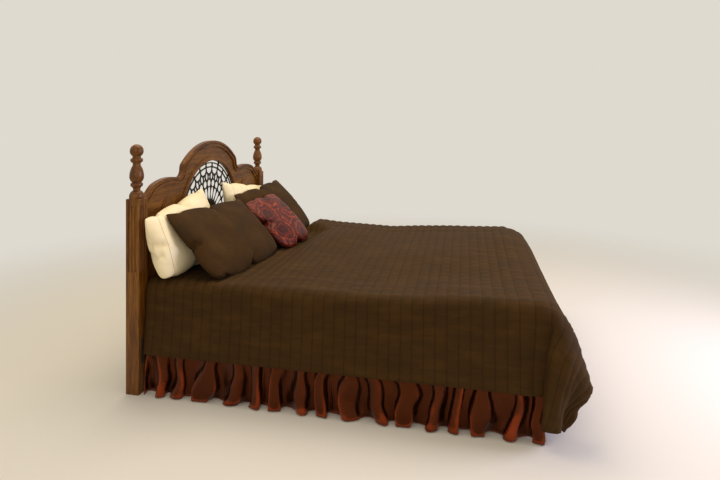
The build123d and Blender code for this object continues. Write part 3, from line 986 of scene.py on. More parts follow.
def obstacle(name: str, points: Sequence, faces: Sequence) -> Piece:
    """Makes a body that cloth can't pass through.

    Args:
        name: The body's name.
        points: Its points.
        faces: Its faces' point numbers.

    Returns:
        The new object, which the caller removes.
    """
    body = mesh_object(name, points, faces)
    body.modifiers.new("collision", "COLLISION")
    assign(
        body.collision,
        thickness_outer=4 * MM,
        thickness_inner=50 * MM,
        cloth_friction=15,
        damping=0.3,
    )
    return body


def run_cloth(piece: Piece, frames: int, settings: dict, contact: dict) -> np.ndarray:
    """Lets a piece settle as cloth.

    Args:
        piece: The piece, in the shape that it starts from.
        frames: The last frame.
        settings: The cloth's settings.
        contact: The settings of its collisions.

    Returns:
        The settled points.
    """
    cloth = piece.modifiers.new("cloth", "CLOTH")
    cloth.point_cache.frame_end = frames
    settings = dict(settings)
    cloth.settings.effector_weights.gravity = settings.pop("gravity", 1.0)
    assign(cloth.settings, **settings)
    assign(cloth.collision_settings, **contact)
    for frame in range(1, frames + 1):
        bpy.context.scene.frame_set(frame)
    shown = piece.evaluated_get(bpy.context.evaluated_depsgraph_get())
    points = mesh_points(shown.to_mesh())
    shown.to_mesh_clear()
    piece.modifiers.clear()
    return points


def remove(*things: Piece) -> None:
    """Removes objects and their meshes.

    Args:
        *things: The objects.
    """
    for thing in things:
        mesh = thing.data
        bpy.data.objects.remove(thing)
        bpy.data.meshes.remove(mesh)


# Bedding


@dataclass
class Quilt:
    """The quilt: a sheet cut to size, draped by simulation and sewn in channels."""

    step: float = 0.03
    edge: float = 0.04
    side_hem: float = 0.205
    foot_hem: float = 0.112
    side_flare: float = math.radians(11)
    corner_flare: float = math.radians(30)
    stiffness: float = 12.0
    frames: int = 60
    # The flat top is held at its middle, fully this far inside where it turns down
    held_margin: float = 0.05
    held_fade: float = 0.1
    ground_reach: float = 3.0
    # The lining's and the filling's thickness, and where they thin out to the hem
    lining: float = 4 * MM
    puff: float = 6 * MM
    hem_puff: float = 2 * MM
    hem_band: float = 12 * MM
    # How flat the filling stands, how deep the cross rows are, and how uneven it all is
    flatness: float = 0.7
    row_depth: float = 0.28
    uneven_fill: float = 0.15
    fill_lumps: float = 0.09
    # The roll over the foot edge: how far out, from how far before the edge, over which
    # heights it fades in, and where across the bed it weakens and by how much
    foot_roll: float = 0.035
    roll_start: float = 0.16
    roll_heights: Band = (0.26, 0.5)
    roll_weakens: Band = (0.2, 0.8)
    roll_loss: float = 0.4
    # The crown: where it rises across the bed, where the pillows end, how much further
    # back they end on the far side, and over which band it rises in front of them
    crown_across: Band = (-0.72, 0.5)
    crown_above: float = 0.25
    pillows_end: float = -0.5
    far_end: float = 0.16
    far_across: Band = (0.45, 0.62)
    before_pillows: Band = (-0.03, 0.13)
    # The swell of the near edge: its height, and its bands along and across the bed
    swell: float = 16 * MM
    swell_rises: Band = (0.2, 0.75)
    swell_falls: Band = (0.9, 1.0)
    swell_across: Band = (0.3, 0.72)
    # The top's soft waves: their height, their size and where they start
    waves: float = 5 * MM
    wave_size: float = 0.3
    waves_start: Band = (-0.5, -0.3)
    # The fold beside a foot corner, as shares of the drops past the foot and past the side.
    # Cloth above its height is drawn down by the first share, and below it up by the second
    fold_past_foot: Band = (0.0, 0.12)
    fold_past_side: Band = (0.45, 0.95)
    fold_height: float = 0.076
    fold_drawn: Band = (0.95, 0.55)
    fold_in: float = 0.8
    skirt_clear: float = 14 * MM
    # Bands over which the foot corners stand out: across, past the foot, and past the side
    corner_across: Band = (-0.2, -0.06)
    corner_past_foot: Band = (0.0, 0.05)
    side_inset: float = 0.03
    side_past_side: Band = (0.0, 0.08)
    side_past_foot: Band = (-0.01, 0.07)
    # How far the top is crowned along the bed, from the pillows to the foot
    crown_line: Table = (
        (-0.66, 0.074), (-0.56, 0.07), (-0.4, 0.053), (-0.19, 0.043), (0.03, 0.03), (0.28, 0.042),
        (0.52, 0.058), (0.7, 0.06), (0.85, 0.062), (0.95, 0.034), (1.02, 0.0),
    )  # fmt: skip
    # How far the foot corners stand out, by height, as a share of the fallen sheet's:
    # past the foot, and past the side
    past_foot_shape: Table = (
        (0.0, 0.3), (0.035, 0.37), (0.068, 0.5), (0.11, 0.55), (0.14, 0.58), (0.17, 0.76),
        (0.2, 0.97), (0.225, 1.12), (0.25, 1.21), (0.32, 1.27), (0.39, 1.24), (0.46, 1.27),
        (0.53, 1.32), (0.57, 1.0),
    )  # fmt: skip
    past_side_shape: Table = (
        (0.0, 0.3), (0.05, 0.34), (0.1, 0.42), (0.15, 0.55), (0.2, 0.72), (0.25, 0.92),
        (0.3, 1.1), (0.35, 1.19), (0.42, 1.2), (0.5, 1.1), (0.57, 1.0),
    )  # fmt: skip
    # Places of the fine points inside one channel and one row, as shares of its pitch
    channel_shares: tuple[float, ...] = (0.0, 0.16, 0.5, 0.84)
    row_shares: tuple[float, ...] = (0.0, 0.25, 0.5, 0.75)

    def __post_init__(self) -> None:
        """Reads the mattress that the quilt lies on."""
        low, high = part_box("mattress")
        self.head, self.foot = float(low[0]), float(high[0])
        self.half, self.top, self.bottom = float(high[1]), float(high[2]), float(low[2])
        self.skirt = max(float(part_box("skirt_far")[1][1]), self.half)
        clear = 8 * MM
        self.flat_foot = self.foot + clear - self.edge - self.head
        self.flat_side = self.half + clear - self.edge
        turn = math.pi * self.edge / 2
        drop = self.top - self.edge
        self.width = 2 * (self.flat_side + turn + drop - self.side_hem)
        self.length = self.flat_foot + turn + drop - self.foot_hem

    def turned_over(self, run: float, flare: float) -> tuple[float, float]:
        """Follows the cloth over a rounded edge and down.

        Args:
            run: How far along the cloth, from where it leaves the top.
            flare: How far the drop stands out from upright, in radians.

        Returns:
            How far out and how far down.
        """
        angle = min(run / self.edge, math.pi / 2 - flare)
        rest = max(run - self.edge * (math.pi / 2 - flare), 0.0)
        out = self.edge * math.sin(angle) + rest * math.sin(flare)
        down = self.edge * (1 - math.cos(angle)) + rest * math.cos(flare)
        return out, down

    def start_point(self, along: float, across: float) -> Place:
        """Where a point of the flat cloth starts, roughly folded over the mattress.

        Args:
            along: Its place from the head edge.
            across: Its place from the middle line.

        Returns:
            X, Y and Z.
        """
        past_foot = max(along - self.flat_foot, 0.0)
        past_side = max(abs(across) - self.flat_side, 0.0)
        bearing = math.atan2(past_foot, past_side)
        flare = self.side_flare + self.corner_flare * math.sin(2 * bearing)
        out, down = self.turned_over(math.hypot(past_foot, past_side), flare)
        x = self.head + min(along, self.flat_foot) + out * math.sin(bearing)
        y = min(abs(across), self.flat_side) + out * math.cos(bearing)
        return x, math.copysign(y, across), max(self.top + 5 * MM - down, 20 * MM)

    def bed_form(self) -> Piece:
        """The mattress, the box spring and the skirt's bulk, as one body for the cloth.

        Returns:
            The body.
        """
        bulge, count = self.skirt - self.half, 7
        rings = []
        for height, out, radius in (
            # height, how far out, corner radius
            (0.0, bulge, 0.09),
            (self.bottom - 0.01, 0.2 * bulge, 0.06),
            (self.bottom + 0.002, 0.002, 0.06),
            (self.top - 0.040, 0.0, 0.06),
            (self.top - 0.017, -0.008, 0.06),
            (self.top - 0.004, -0.022, 0.06),
            (self.top, -0.040, 0.06),
        ):
            side = self.half + out
            low, high = (self.head - 0.02, -side), (self.foot + out, side)
            rings.append(rounded_ring(low, high, radius, count)[0] + (0.0, 0.0, height))
        ring, total = 4 * count, 4 * count * len(rings)
        faces = []
        for first in range(0, total - ring, ring):
            for k in range(ring):
                a, b = first + k, first + (k + 1) % ring
                faces.append((a, b, b + ring, a + ring))
        faces += [tuple(range(total - ring, total)), tuple(reversed(range(ring)))]
        return obstacle("bed form", np.concatenate(rings), faces)

    def drape(self, rows: np.ndarray, columns: np.ndarray) -> np.ndarray:
        """Lets the flat sheet fall over the bed.

        Args:
            rows: The places of the grid's rows, from the head edge.
            columns: The places of its columns, from the middle line.

        Returns:
            The grid's points as rows, columns and X, Y, Z.
        """
        start = np.array([[self.start_point(a, b) for b in columns] for a in rows])
        flat = np.stack(np.meshgrid(self.head + rows, columns, [self.top], indexing="ij"), -1)
        points = start.reshape(-1, 3)
        faces = grid_faces(len(rows), len(columns))
        sheet = cloth_object("falling sheet", points, faces, 0 * points[:, :2], QUILTING)
        sheet.shape_key_add(name="start")
        key = sheet.shape_key_add(name="flat")
        key.data.foreach_set("co", flat.ravel())
        key.value = 0.0
        held = sheet.vertex_groups.new(name="held")
        inside = np.minimum(
            (self.flat_foot - self.held_margin - rows)[:, None],
            (self.flat_side - self.held_margin - np.abs(columns))[None, :],
        ).ravel()
        for number in np.flatnonzero(inside > 0):
            held.add([int(number)], min(1.0, inside[number] / self.held_fade), "REPLACE")
        corners = np.array(SQUARE) * self.ground_reach
        bodies = [self.bed_form(), obstacle("ground", corners, [(0, 1, 2, 3)])]
        settings = {
            "quality": 6,
            "mass": 0.3,
            "tension_stiffness": 60,
            "compression_stiffness": 60,
            "shear_stiffness": 10,
            "bending_stiffness": self.stiffness,
            "tension_damping": 10,
            "compression_damping": 10,
            "shear_damping": 5,
            "bending_damping": 2,
            "air_damping": 1.0,
            "vertex_group_mass": "held",
            "rest_shape_key": key,
        }
        contact = {
            "collision_quality": 3,
            "distance_min": 4 * MM,
            "use_self_collision": True,
            "self_distance_min": 8 * MM,
            "self_friction": 5,
        }
        fallen = run_cloth(sheet, self.frames, settings, contact)
        remove(sheet, *bodies)
        bpy.context.scene.frame_set(1)
        return fallen.reshape(start.shape)

    def settle(self, grid: np.ndarray, rows: np.ndarray, columns: np.ndarray) -> np.ndarray:
        """Gives the fallen sheet the bulk and the folds that its thickness makes.

        Args:
            grid: The fallen sheet's points as rows, columns and X, Y, Z.
            rows: The rows' places from the head edge.
            columns: The columns' places from the middle line.

        Returns:
            The settled points.
        """
        past_foot = (rows[:, None] - self.flat_foot) / (self.length - self.flat_foot)
        past_side = (np.abs(columns)[None, :] - self.flat_side) / (self.width / 2 - self.flat_side)
        settled = grid.copy()
        x, y, z = np.moveaxis(grid, 2, 0)
        # Over the foot edge the quilt rolls out, fullest near the middle of the edge
        roll = smooth_step(x, self.foot - self.roll_start, self.foot)
        roll *= smooth_step(z, *self.roll_heights)
        weaker = 1 - self.roll_loss * smooth_step(y, *self.roll_weakens)
        settled[..., 0] += self.foot_roll * roll * weaker
        # The top is crowned, higher towards the far side, in front of the pillows
        rise = np.interp(x, *zip(*self.crown_line)) * smooth_step(y, *self.crown_across)
        pillows_end = self.pillows_end - self.far_end * smooth_step(y, *self.far_across)
        rise *= smooth_step(x - pillows_end, *self.before_pillows)
        # The near edge swells a little before the foot, and the top is softly uneven
        near_foot = smooth_step(x, *self.swell_rises) * (1 - smooth_step(x, *self.swell_falls))
        rise += self.swell * near_foot * smooth_step(-y, *self.swell_across)
        waves = self.waves * smooth_noise(rows, columns, self.wave_size, 8)
        rise += waves * smooth_step(x, *self.waves_start)
        settled[..., 2] += rise * smooth_step(z, self.crown_above, self.top)
        # Beside the corner the hem drops close to the floor, in a fold outside the skirt
        fold = smooth_step(past_foot, *self.fold_past_foot)
        fold = fold * smooth_step(past_side, *self.fold_past_side)
        drawn = np.where(z > self.fold_height, *self.fold_drawn)
        settled[..., 2] -= (z - self.fold_height) * drawn * fold
        past_skirt = np.clip(np.abs(y) - (self.skirt + self.skirt_clear), 0, None)
        settled[..., 1] -= np.sign(y) * (past_skirt * fold * self.fold_in)
        # The corners stand out at mid height and their tips fold in over the floor
        height = settled[..., 2]
        foot_scale = np.interp(height, *zip(*self.past_foot_shape))
        side_scale = np.interp(height, *zip(*self.past_side_shape))
        past = settled[..., 0] - self.foot
        limits = (self.half + edge for edge in self.corner_across)
        corner = smooth_step(np.abs(settled[..., 1]), *limits)
        outside = smooth_step(past, *self.corner_past_foot)
        beyond = np.abs(settled[..., 1]) - (self.half - self.side_inset)
        beside = smooth_step(beyond, *self.side_past_side)
        beside *= smooth_step(past, *self.side_past_foot)
        settled[..., 0] += past * (foot_scale - 1) * corner * outside
        settled[..., 1] += np.sign(y) * beyond * (side_scale - 1) * beside
        return settled

    def fine_places(self, length: float, pitch: float, shares: tuple[float, ...]) -> np.ndarray:
        """Places of the fine points, close together beside each sewn line.

        Args:
            length: The cloth's length.
            pitch: The distance between sewn lines.
            shares: The points' places inside one pitch.

        Returns:
            The places, from nought to the length.
        """
        apart = 2 * MM
        cells = math.ceil(length / pitch)
        places = [pitch * (cell + share) for cell in range(cells) for share in shares]
        return np.array([0.0, *(p for p in places if apart < p < length - apart), length])

    def puffed(self, rows: np.ndarray, columns: np.ndarray) -> np.ndarray:
        """How high the filling stands between the sewn lines and inside the hem.

        Args:
            rows: The fine rows' places on the flat cloth.
            columns: The fine columns' places.

        Returns:
            One height above the lining for each row and column.
        """
        channels = rows / QUILTING.channel
        puff_r = np.abs(np.sin(np.pi * channels)) ** self.flatness
        # The cross rows of neighbouring channels lie half a pitch apart
        offset = (np.floor(channels + 1e-6) % 2) * QUILTING.row / 2
        along_row = (columns[None, :] + offset[:, None]) / QUILTING.row
        puff_c = np.abs(np.sin(np.pi * along_row)) ** self.flatness
        height = self.puff * puff_r[:, None] * (1 - self.row_depth + self.row_depth * puff_c)
        height *= 1 + self.uneven_fill * smooth_noise(rows, columns, self.fill_lumps, 3)
        edge_r, edge_c = (
            np.clip(np.minimum(places, size - places) / self.hem_band, 0, 1)
            for places, size in ((rows, self.length), (columns, self.width))
        )
        near_edge = np.minimum(edge_r[:, None], edge_c[None, :])
        return self.lining + height * near_edge + self.hem_puff * (1 - near_edge)

    def build(self) -> Piece:
        """Makes the quilt.

        Returns:
            The finished piece.
        """
        rows = np.linspace(0, self.length, round(self.length / self.step) + 1)
        columns = np.linspace(-self.width / 2, self.width / 2, round(self.width / self.step) + 1)
        fallen = self.settle(self.drape(rows, columns), rows, columns)
        fine_r = self.fine_places(self.length, QUILTING.channel, self.channel_shares)
        fine_c = self.fine_places(self.width, QUILTING.row, self.row_shares)
        read_r = curve_weights(fine_r / self.length * (len(rows) - 1), len(rows))
        read_c = curve_weights(fine_c / self.width * (len(columns) - 1), len(columns))
        under = np.einsum("ia,abk,jb->ijk", read_r, fallen, read_c)
        normal = np.cross(np.gradient(under, axis=0), np.gradient(under, axis=1))
        normal /= np.maximum(np.linalg.norm(normal, axis=2, keepdims=True), TINY)
        over = under + normal * self.puffed(fine_r, fine_c)[..., None]
        piece = self.skin(over, under, fine_r, fine_c)
        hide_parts("quilt")
        return piece

    def skin(
        self, over: np.ndarray, under: np.ndarray, rows: np.ndarray, columns: np.ndarray
    ) -> Piece:
        """Closes the outer face and the lining with a rounded hem.

        Args:
            over: The outer face's points.
            under: The lining's points.
            rows: The rows' places on the flat cloth.
            columns: The columns' places.

        Returns:
            The closed piece.
        """
        nr, nc = over.shape[:2]
        hem_bulge = 3 * MM
        loop = (
            [(0, j) for j in range(nc)]
            + [(i, nc - 1) for i in range(1, nr)]
            + [(nr - 1, j) for j in range(nc - 2, -1, -1)]
            + [(i, 0) for i in range(nr - 2, 0, -1)]
        )
        hem = []
        for i, j in loop:
            inner = under[min(max(i, 1), nr - 2), min(max(j, 1), nc - 2)]
            way = under[i, j] - inner
            way = way / max(np.linalg.norm(way), TINY)
            hem.append((over[i, j] + under[i, j]) / 2 + way * hem_bulge)
        flat = np.stack(np.meshgrid(columns, rows), axis=-1).reshape(-1, 2)
        points = np.concatenate([over.reshape(-1, 3), under.reshape(-1, 3), hem])
        size = nr * nc
        faces = grid_faces(nr, nc) + grid_faces(nr, nc, size, turned=True)
        edge = [i * nc + j for i, j in loop]
        for k, a in enumerate(edge):
            following = (k + 1) % len(edge)
            b, h, h2 = edge[following], 2 * size + k, 2 * size + following
            faces += [(a, b, h2, h), (h, h2, size + b, size + a)]
        flat = np.concatenate([flat, flat, flat[edge]])
        return cloth_object("channel_quilt", points, faces, flat, QUILTING)


@dataclass
class GatheredSkirt:
    """One panel of the bed skirt, gathered by a node tree whose inputs are its sizes."""

    name: str
    node: str
    length: float
    centre: tuple[float, float]
    turn: float
    top: float
    seed: float
    # How far the hem runs on past the panel's low and high end, less than nought where it
    # draws back from a foot corner
    low_reach: float
    high_reach: float
    clear: float = 6 * MM
    wave: float = 0.127
    top_out: float = 8.5 * MM
    top_depth: float = 5 * MM
    hem_out: float = 36 * MM
    hem_depth: float = 27 * MM
    # The hollows of the folds stay outside the steel rails
    least_out: float = 5.5 * MM
    thickness: float = 1.2 * MM

    def tree(self) -> Tree:
        """The node tree that gathers a flat strip into folds that deepen downwards.

        Returns:
            The tree.
        """
        found = bpy.data.node_groups.get(SKIRT_TREE)
        if found:
            return found
        names = (
            "Length", "Drop", "Wave", "Top Out", "Top Depth", "Hem Out", "Hem Depth", "Seed",
            "Low Reach", "High Reach", "Least Out",
        )  # fmt: skip
        tree, given = start_tree(SKIRT_TREE, **dict.fromkeys(names, "Float"), Satin="Material")
        length, drop, wave, top_out, top_depth, hem_out, hem_depth, seed, low, high, least = (
            given.pick(name) for name in names
        )
        # How many points lie across a fold and down the drop
        across, down = 20.0, 22
        # How far the folds wander, as an angle, how far they curl back, and how near to a
        # foot corner they draw back, as a power
        wander, back, near_corner = 9.0, -0.013, 6.0
        # A fold's depth: the least, and how much it varies
        least_depth, varies = 0.55, 0.8
        # The smaller wave on each fold: how many times shorter it is, and its share
        shorter, share_of_depth = 2.63, 0.22
        inputs = {"Size X": length, "Size Y": drop, "Vertices Y": down}
        inputs["Vertices X"] = length / wave * across
        strip = add_node(tree, "GeometryNodeMeshGrid", inputs=inputs)
        position = add_node(tree, "GeometryNodeInputPosition")
        place = add_node(tree, "ShaderNodeSeparateXYZ", inputs={0: position})
        along, fallen = place.pick("X"), 0.5 - place.pick("Y") / drop
        # Each fold wanders a little from its even place, and more towards the hem
        drift, swing = (
            add_node(
                tree,
                "ShaderNodeTexNoise",
                inputs={
                    "Vector": add_node(
                        tree, "ShaderNodeCombineXYZ", inputs={"X": along, "Y": row, "Z": seed}
                    ),
                    "Scale": scale,
                    "Detail": 1.0,
                },
            )
            # Where each is read, with the drop or at one height, and its scale
            for row, scale in ((fallen * 0.3, 5.0), (3.0, 7.0))
        )
        phase = along / wave * math.tau + (drift - 0.5) * wander
        depth = (top_depth + (hem_depth - top_depth) * fallen**0.8) * (swing * varies + least_depth)
        fold = phase.then("SINE") + (phase * shorter).then("SINE") * share_of_depth
        out = top_out + (hem_out - top_out) * fallen + depth * fold
        # The folds curl back on themselves like a row of loops
        curl = (phase * 2.0).then("SINE") * back * fallen**1.2
        # Beside a foot corner the cloth draws back as it falls, so the corner is split
        share = along / length + 0.5
        reach = (high * share**near_corner - low * (1.0 - share) ** near_corner) * fallen
        folded = {
            "X": along + curl + reach,
            "Y": out.then("SMOOTH_MAX", least, 4 * MM),
            "Z": fallen * (drop * -1.0),
        }
        position = add_node(tree, "ShaderNodeCombineXYZ", inputs=folded)
        inputs = {"Geometry": strip, "Position": position}
        gathered = add_node(tree, "GeometryNodeSetPosition", inputs=inputs)
        mapped = add_node(
            tree,
            "GeometryNodeStoreNamedAttribute",
            {"data_type": "FLOAT2", "domain": "CORNER"},
            {"Geometry": gathered, "Name": UV_NAME, "Value": strip.pick("UV Map")},
        )
        return end_tree(tree, mapped, given.pick("Satin"))

    def build(self) -> Piece:
        """Makes the panel.

        Returns:
            The finished piece.
        """
        drop = self.top - self.clear
        values = {
            "Length": self.length,
            "Drop": drop,
            "Wave": self.wave,
            "Top Out": self.top_out,
            "Top Depth": self.top_depth,
            "Hem Out": self.hem_out,
            "Hem Depth": self.hem_depth,
            "Seed": self.seed,
            "Low Reach": self.low_reach,
            "High Reach": self.high_reach,
            "Least Out": self.least_out,
            "Satin": SATIN.material(),
        }
        piece = grown(self.name, [], self.tree(), **values)
        mesh = piece.data
        # The cloth is cut as wide as the hem is long along its folds
        points = mesh_points(mesh)
        hem = points[points[:, 2] < points[:, 2].min() + 0.1 * MM]
        flat = (float(np.linalg.norm(np.diff(hem, axis=0), axis=1).sum()), drop)
        layer = mesh.uv_layers[UV_NAME]
        uv = np.zeros(len(mesh.loops) * 2, dtype=np.float32)
        layer.data.foreach_get("uv", uv)
        uv = uv.reshape(-1, 2) * np.array(flat, dtype=np.float32)
        layer.data.foreach_set("uv", uv.ravel())
        place = Matrix.Translation((*self.centre, self.top)) @ Matrix.Rotation(self.turn, 4, "Z")
        mesh.transform(place)
        smooth_faces(mesh)
        thicken(piece, self.thickness, 0)
        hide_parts(self.node)
        return piece


@dataclass(frozen=True)
class PillowSizes:
    """One pillow, sham or cushion: its size, its place and how it leans, in degrees."""

    name: str
    node: str
    slot: str
    finish: Finish
    width: float
    height: float
    thickness: float
    # The middle's place: from the middle line, the headboard's face and the quilt's top
    across: float
    out: float
    up: float
    lean: float
    turn: float
    # How much the top edge rises along the pillow, and how far its seams bow in
    slope: float
    hollow: float
    fill: float
    pressed_by: tuple[str, ...] = ()


@dataclass
class StuffedPillow:
    """A cover of two cloths sewn round the edge, blown up by simulation and leant."""

    sizes: PillowSizes
    cell: float = 0.014
    frames: int = 26
    pressure: float = 5.0
    # The cover is cut fuller in the middle of each side, because filling draws it in
    fullness: float = 0.06
    # How far the foot's corners draw up, as a share of the half height, and in
    round_foot: float = 0.2
    drawn_in: float = 0.3
    # How much fuller the foot is than the top, since the filling settles
    foot_fullness: float = 0.12
    # How far it stays from what it leans on, and how thin it may be pressed
    clear: float = 1 * MM
    least: float = 6 * MM
    # Over which band, from a post's inner side, the pillow gives way to the post
    beside_post: Band = (-0.05, -0.01)

    def flat_cover(self) -> tuple[np.ndarray, Faces, np.ndarray]:
        """The two cloths, sewn together along their edges.

        Returns:
            The points, the faces and each point's share of the half width and half
            height, with its side.
        """
        sizes = self.sizes
        nu, nv = (round(size / self.cell) + 1 for size in (sizes.width, sizes.height))
        rim_rise, dome_rise = 4 * MM, 14 * MM
        points, shares, index, faces = [], [], {}, []
        for side in (1, -1):
            for i, u in enumerate(np.linspace(-1, 1, nu)):
                for j, v in enumerate(np.linspace(-1, 1, nv)):
                    rim = i in (0, nu - 1) or j in (0, nv - 1)
                    if rim and side < 0:
                        index[side, i, j] = index[1, i, j]
                        continue
                    index[side, i, j] = len(points)
                    dome = (1 - u * u) * (1 - v * v)
                    rise = 0.0 if rim else side * (rim_rise + dome_rise * dome)
                    x = sizes.width / 2 * u * (1 + self.fullness * (1 - v * v))
                    y = sizes.height / 2 * v * (1 + self.fullness * (1 - u * u))
                    points.append((x, y, rise))
                    shares.append((u, v, 0.0 if rim else side))
        for side in (1, -1):
            for i in range(nu - 1):
                for j in range(nv - 1):
                    corners = ((i, j), (i + 1, j), (i + 1, j + 1), (i, j + 1))
                    face = tuple(index[side, a, b] for a, b in corners[::side])
                    faces.append(face)
        return np.array(points), faces, np.array(shares)

    def blow_up(self, piece: Piece) -> np.ndarray:
        """Fills the flat cover by simulation.

        Args:
            piece: The flat cover.

        Returns:
            The filled cover's points.
        """
        settings = {
            "quality": 6,
            "mass": 0.15,
            "tension_stiffness": 18,
            "compression_stiffness": 18,
            "shear_stiffness": 8,
            "bending_stiffness": 0.4,
            "air_damping": 2.0,
            "use_pressure": True,
            "uniform_pressure_force": self.pressure,
            "gravity": 0.0,
        }
        points = run_cloth(piece, self.frames, settings, {})
        bpy.context.scene.frame_set(1)
        return points

    def to_size(self, points: np.ndarray, shares: np.ndarray) -> np.ndarray:
        """Brings the filled cover to the pillow's size and keeps its wrinkles.

        Args:
            points: The filled cover's points.
            shares: Their places, as flat_cover gives them.

        Returns:
            The points, with seams that bow in as the sizes say.
        """
        sizes = self.sizes
        fitted = points.copy()
        for axis, size in enumerate((sizes.width, sizes.height)):
            own, other = shares[:, axis], shares[:, 1 - axis]
            seam = np.abs(own) > 1 - 1e-6
            bend, end = np.polyfit(other[seam] ** 2, np.abs(points[seam, axis]), 1)
            wanted = size / 2 * (1 - sizes.hollow * (1 - other**2))
            fitted[:, axis] *= wanted / (end + bend * other**2)
        thick = points[:, 2].max() - points[:, 2].min()
        fitted[:, 2] *= sizes.thickness / thick * (1 - self.foot_fullness * shares[:, 1])
        upper = np.clip(0.5 + fitted[:, 1] / sizes.height, 0, None)
        fitted[:, 1] += sizes.slope * fitted[:, 0] * upper
        lower = np.clip(-shares[:, 1], 0, None) ** 2
        corner = self.round_foot * np.abs(shares[:, 0]) ** 4 * lower
        fitted[:, 1] += corner * sizes.height / 2
        fitted[:, 0] *= 1 - self.drawn_in * corner
        return fitted

    def directions(self) -> tuple[np.ndarray, np.ndarray, np.ndarray]:
        """The pillow's own directions.

        Returns:
            Along its width, up its face and out of its face.
        """
        turn, lean = math.radians(self.sizes.turn), math.radians(self.sizes.lean)
        flat = math.cos(lean)
        out = np.array((flat * math.cos(turn), -flat * math.sin(turn), math.sin(lean)))
        side = np.array((math.sin(turn), math.cos(turn), 0.0))
        return side, np.cross(out, side), out

    @staticmethod
    def depth_behind(pillow: BVHTree, point: Vector, out: Vector) -> float:
        """How far a point must go back to lie behind another pillow.

        Args:
            pillow: The other pillow, in its place.
            point: The point.
            out: The way forward, along which it goes back.

        Returns:
            The distance, or nought where the pillow isn't in the way.
        """
        reach, step = 1.0, 0.5 * MM
        start, gone, last = point + out * reach, 0.0, reach
        while gone < 2 * reach:
            place, _, _, distance = pillow.ray_cast(start, -out, 2 * reach - gone)
            if place is None:
                break
            gone += distance + step
            last = gone
            start = place - out * step
        return max(last - reach, 0.0)

    def pressed(self, world: np.ndarray, faces: Faces, front: Sequence[BVHTree]) -> np.ndarray:
        """Pushes the pillow back where others lean on it, in a soft hollow.

        Args:
            world: The points in the frame.
            faces: The faces' point numbers.
            front: The pillows that lean on it.

        Returns:
            The pressed points.
        """
        if not front:
            return world
        clear, passes = 2 * MM, 30
        out = self.directions()[2]
        way = Vector(out)
        need = np.array([max(self.depth_behind(o, Vector(p), way) for o in front) for p in world])
        need = np.where(need > 0, need + clear, 0.0)
        pairs = np.array([(f[k], f[(k + 1) % 4]) for f in faces for k in range(4)])
        count = np.bincount(pairs[:, 0], minlength=len(world))
        push = need.copy()
        for _ in range(passes):
            near = np.bincount(pairs[:, 0], weights=push[pairs[:, 1]], minlength=len(world))
            push = np.maximum(need, near / np.maximum(count, 1))
        return world - push[:, None] * out

    def rested(self, world: np.ndarray, shares: np.ndarray) -> np.ndarray:
        """Flattens the pillow on the quilt and against the headboard and its posts.

        Args:
            world: The points in the frame.
            shares: Their places on the cover.

        Returns:
            The points, softly kept out of the bed and the headboard.
        """
        bed = float(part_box("quilt")[1][2])
        board = float(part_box("arch_moulding")[1][0]) + self.clear
        low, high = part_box("post_far")
        post_front, post_side = float(high[0]) + self.clear, float(low[1])
        beside = smooth_step(np.abs(world[:, 1]) - post_side, *self.beside_post)
        behind = board + (post_front - board) * beside
        rested = world.copy()
        for axis, limit in ((2, bed), (0, behind)):
            above = rested[:, axis] - limit
            rested[:, axis] = limit + 0.5 * (above + np.sqrt(above * above + self.least**2))
        # The two cloths keep a little filling between them
        out = self.directions()[2]
        depth = rested @ out
        backs = {tuple(row[:2]): k for k, row in enumerate(shares) if row[2] < 0}
        for k, (u, v, side) in enumerate(shares):
            back = backs.get((u, v)) if side > 0 else None
            if back is not None and depth[k] < depth[back] + self.least:
                rested[k] += (depth[back] + self.least - depth[k]) * out
        return rested

    def build(self, front: Sequence[BVHTree]) -> tuple[Piece, BVHTree]:
        """Makes the pillow.

        Args:
            front: The pillows that lean on it.

        Returns:
            The finished piece, and its body that presses on those behind it.
        """
        sizes = self.sizes
        points, faces, shares = self.flat_cover()
        half = np.array((sizes.width / 2, sizes.height / 2))
        flat = shares[:, :2] * half + np.where(shares[:, 2:] < 0, (0, 2 * sizes.height), (0, 0))
        piece = cloth_object(sizes.name, points, faces, flat, sizes.finish)
        filled = self.blow_up(piece)
        fitted = self.to_size(filled, shares)
        board = float(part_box("headboard_panel")[1][0])
        top = float(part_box("quilt")[1][2])
        middle = np.array((board + sizes.out, sizes.across, top + sizes.up))
        world = middle + fitted @ np.stack(self.directions())
        world = self.rested(self.pressed(world, faces, front), shares)
        piece.data.vertices.foreach_set("co", world.ravel())
        finer = piece.modifiers.new("finer", "SUBSURF")
        assign(finer, levels=1, render_levels=1)
        bake_modifiers(piece)
        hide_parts(sizes.node)
        return piece, BVHTree.FromPolygons(world.tolist(), faces)


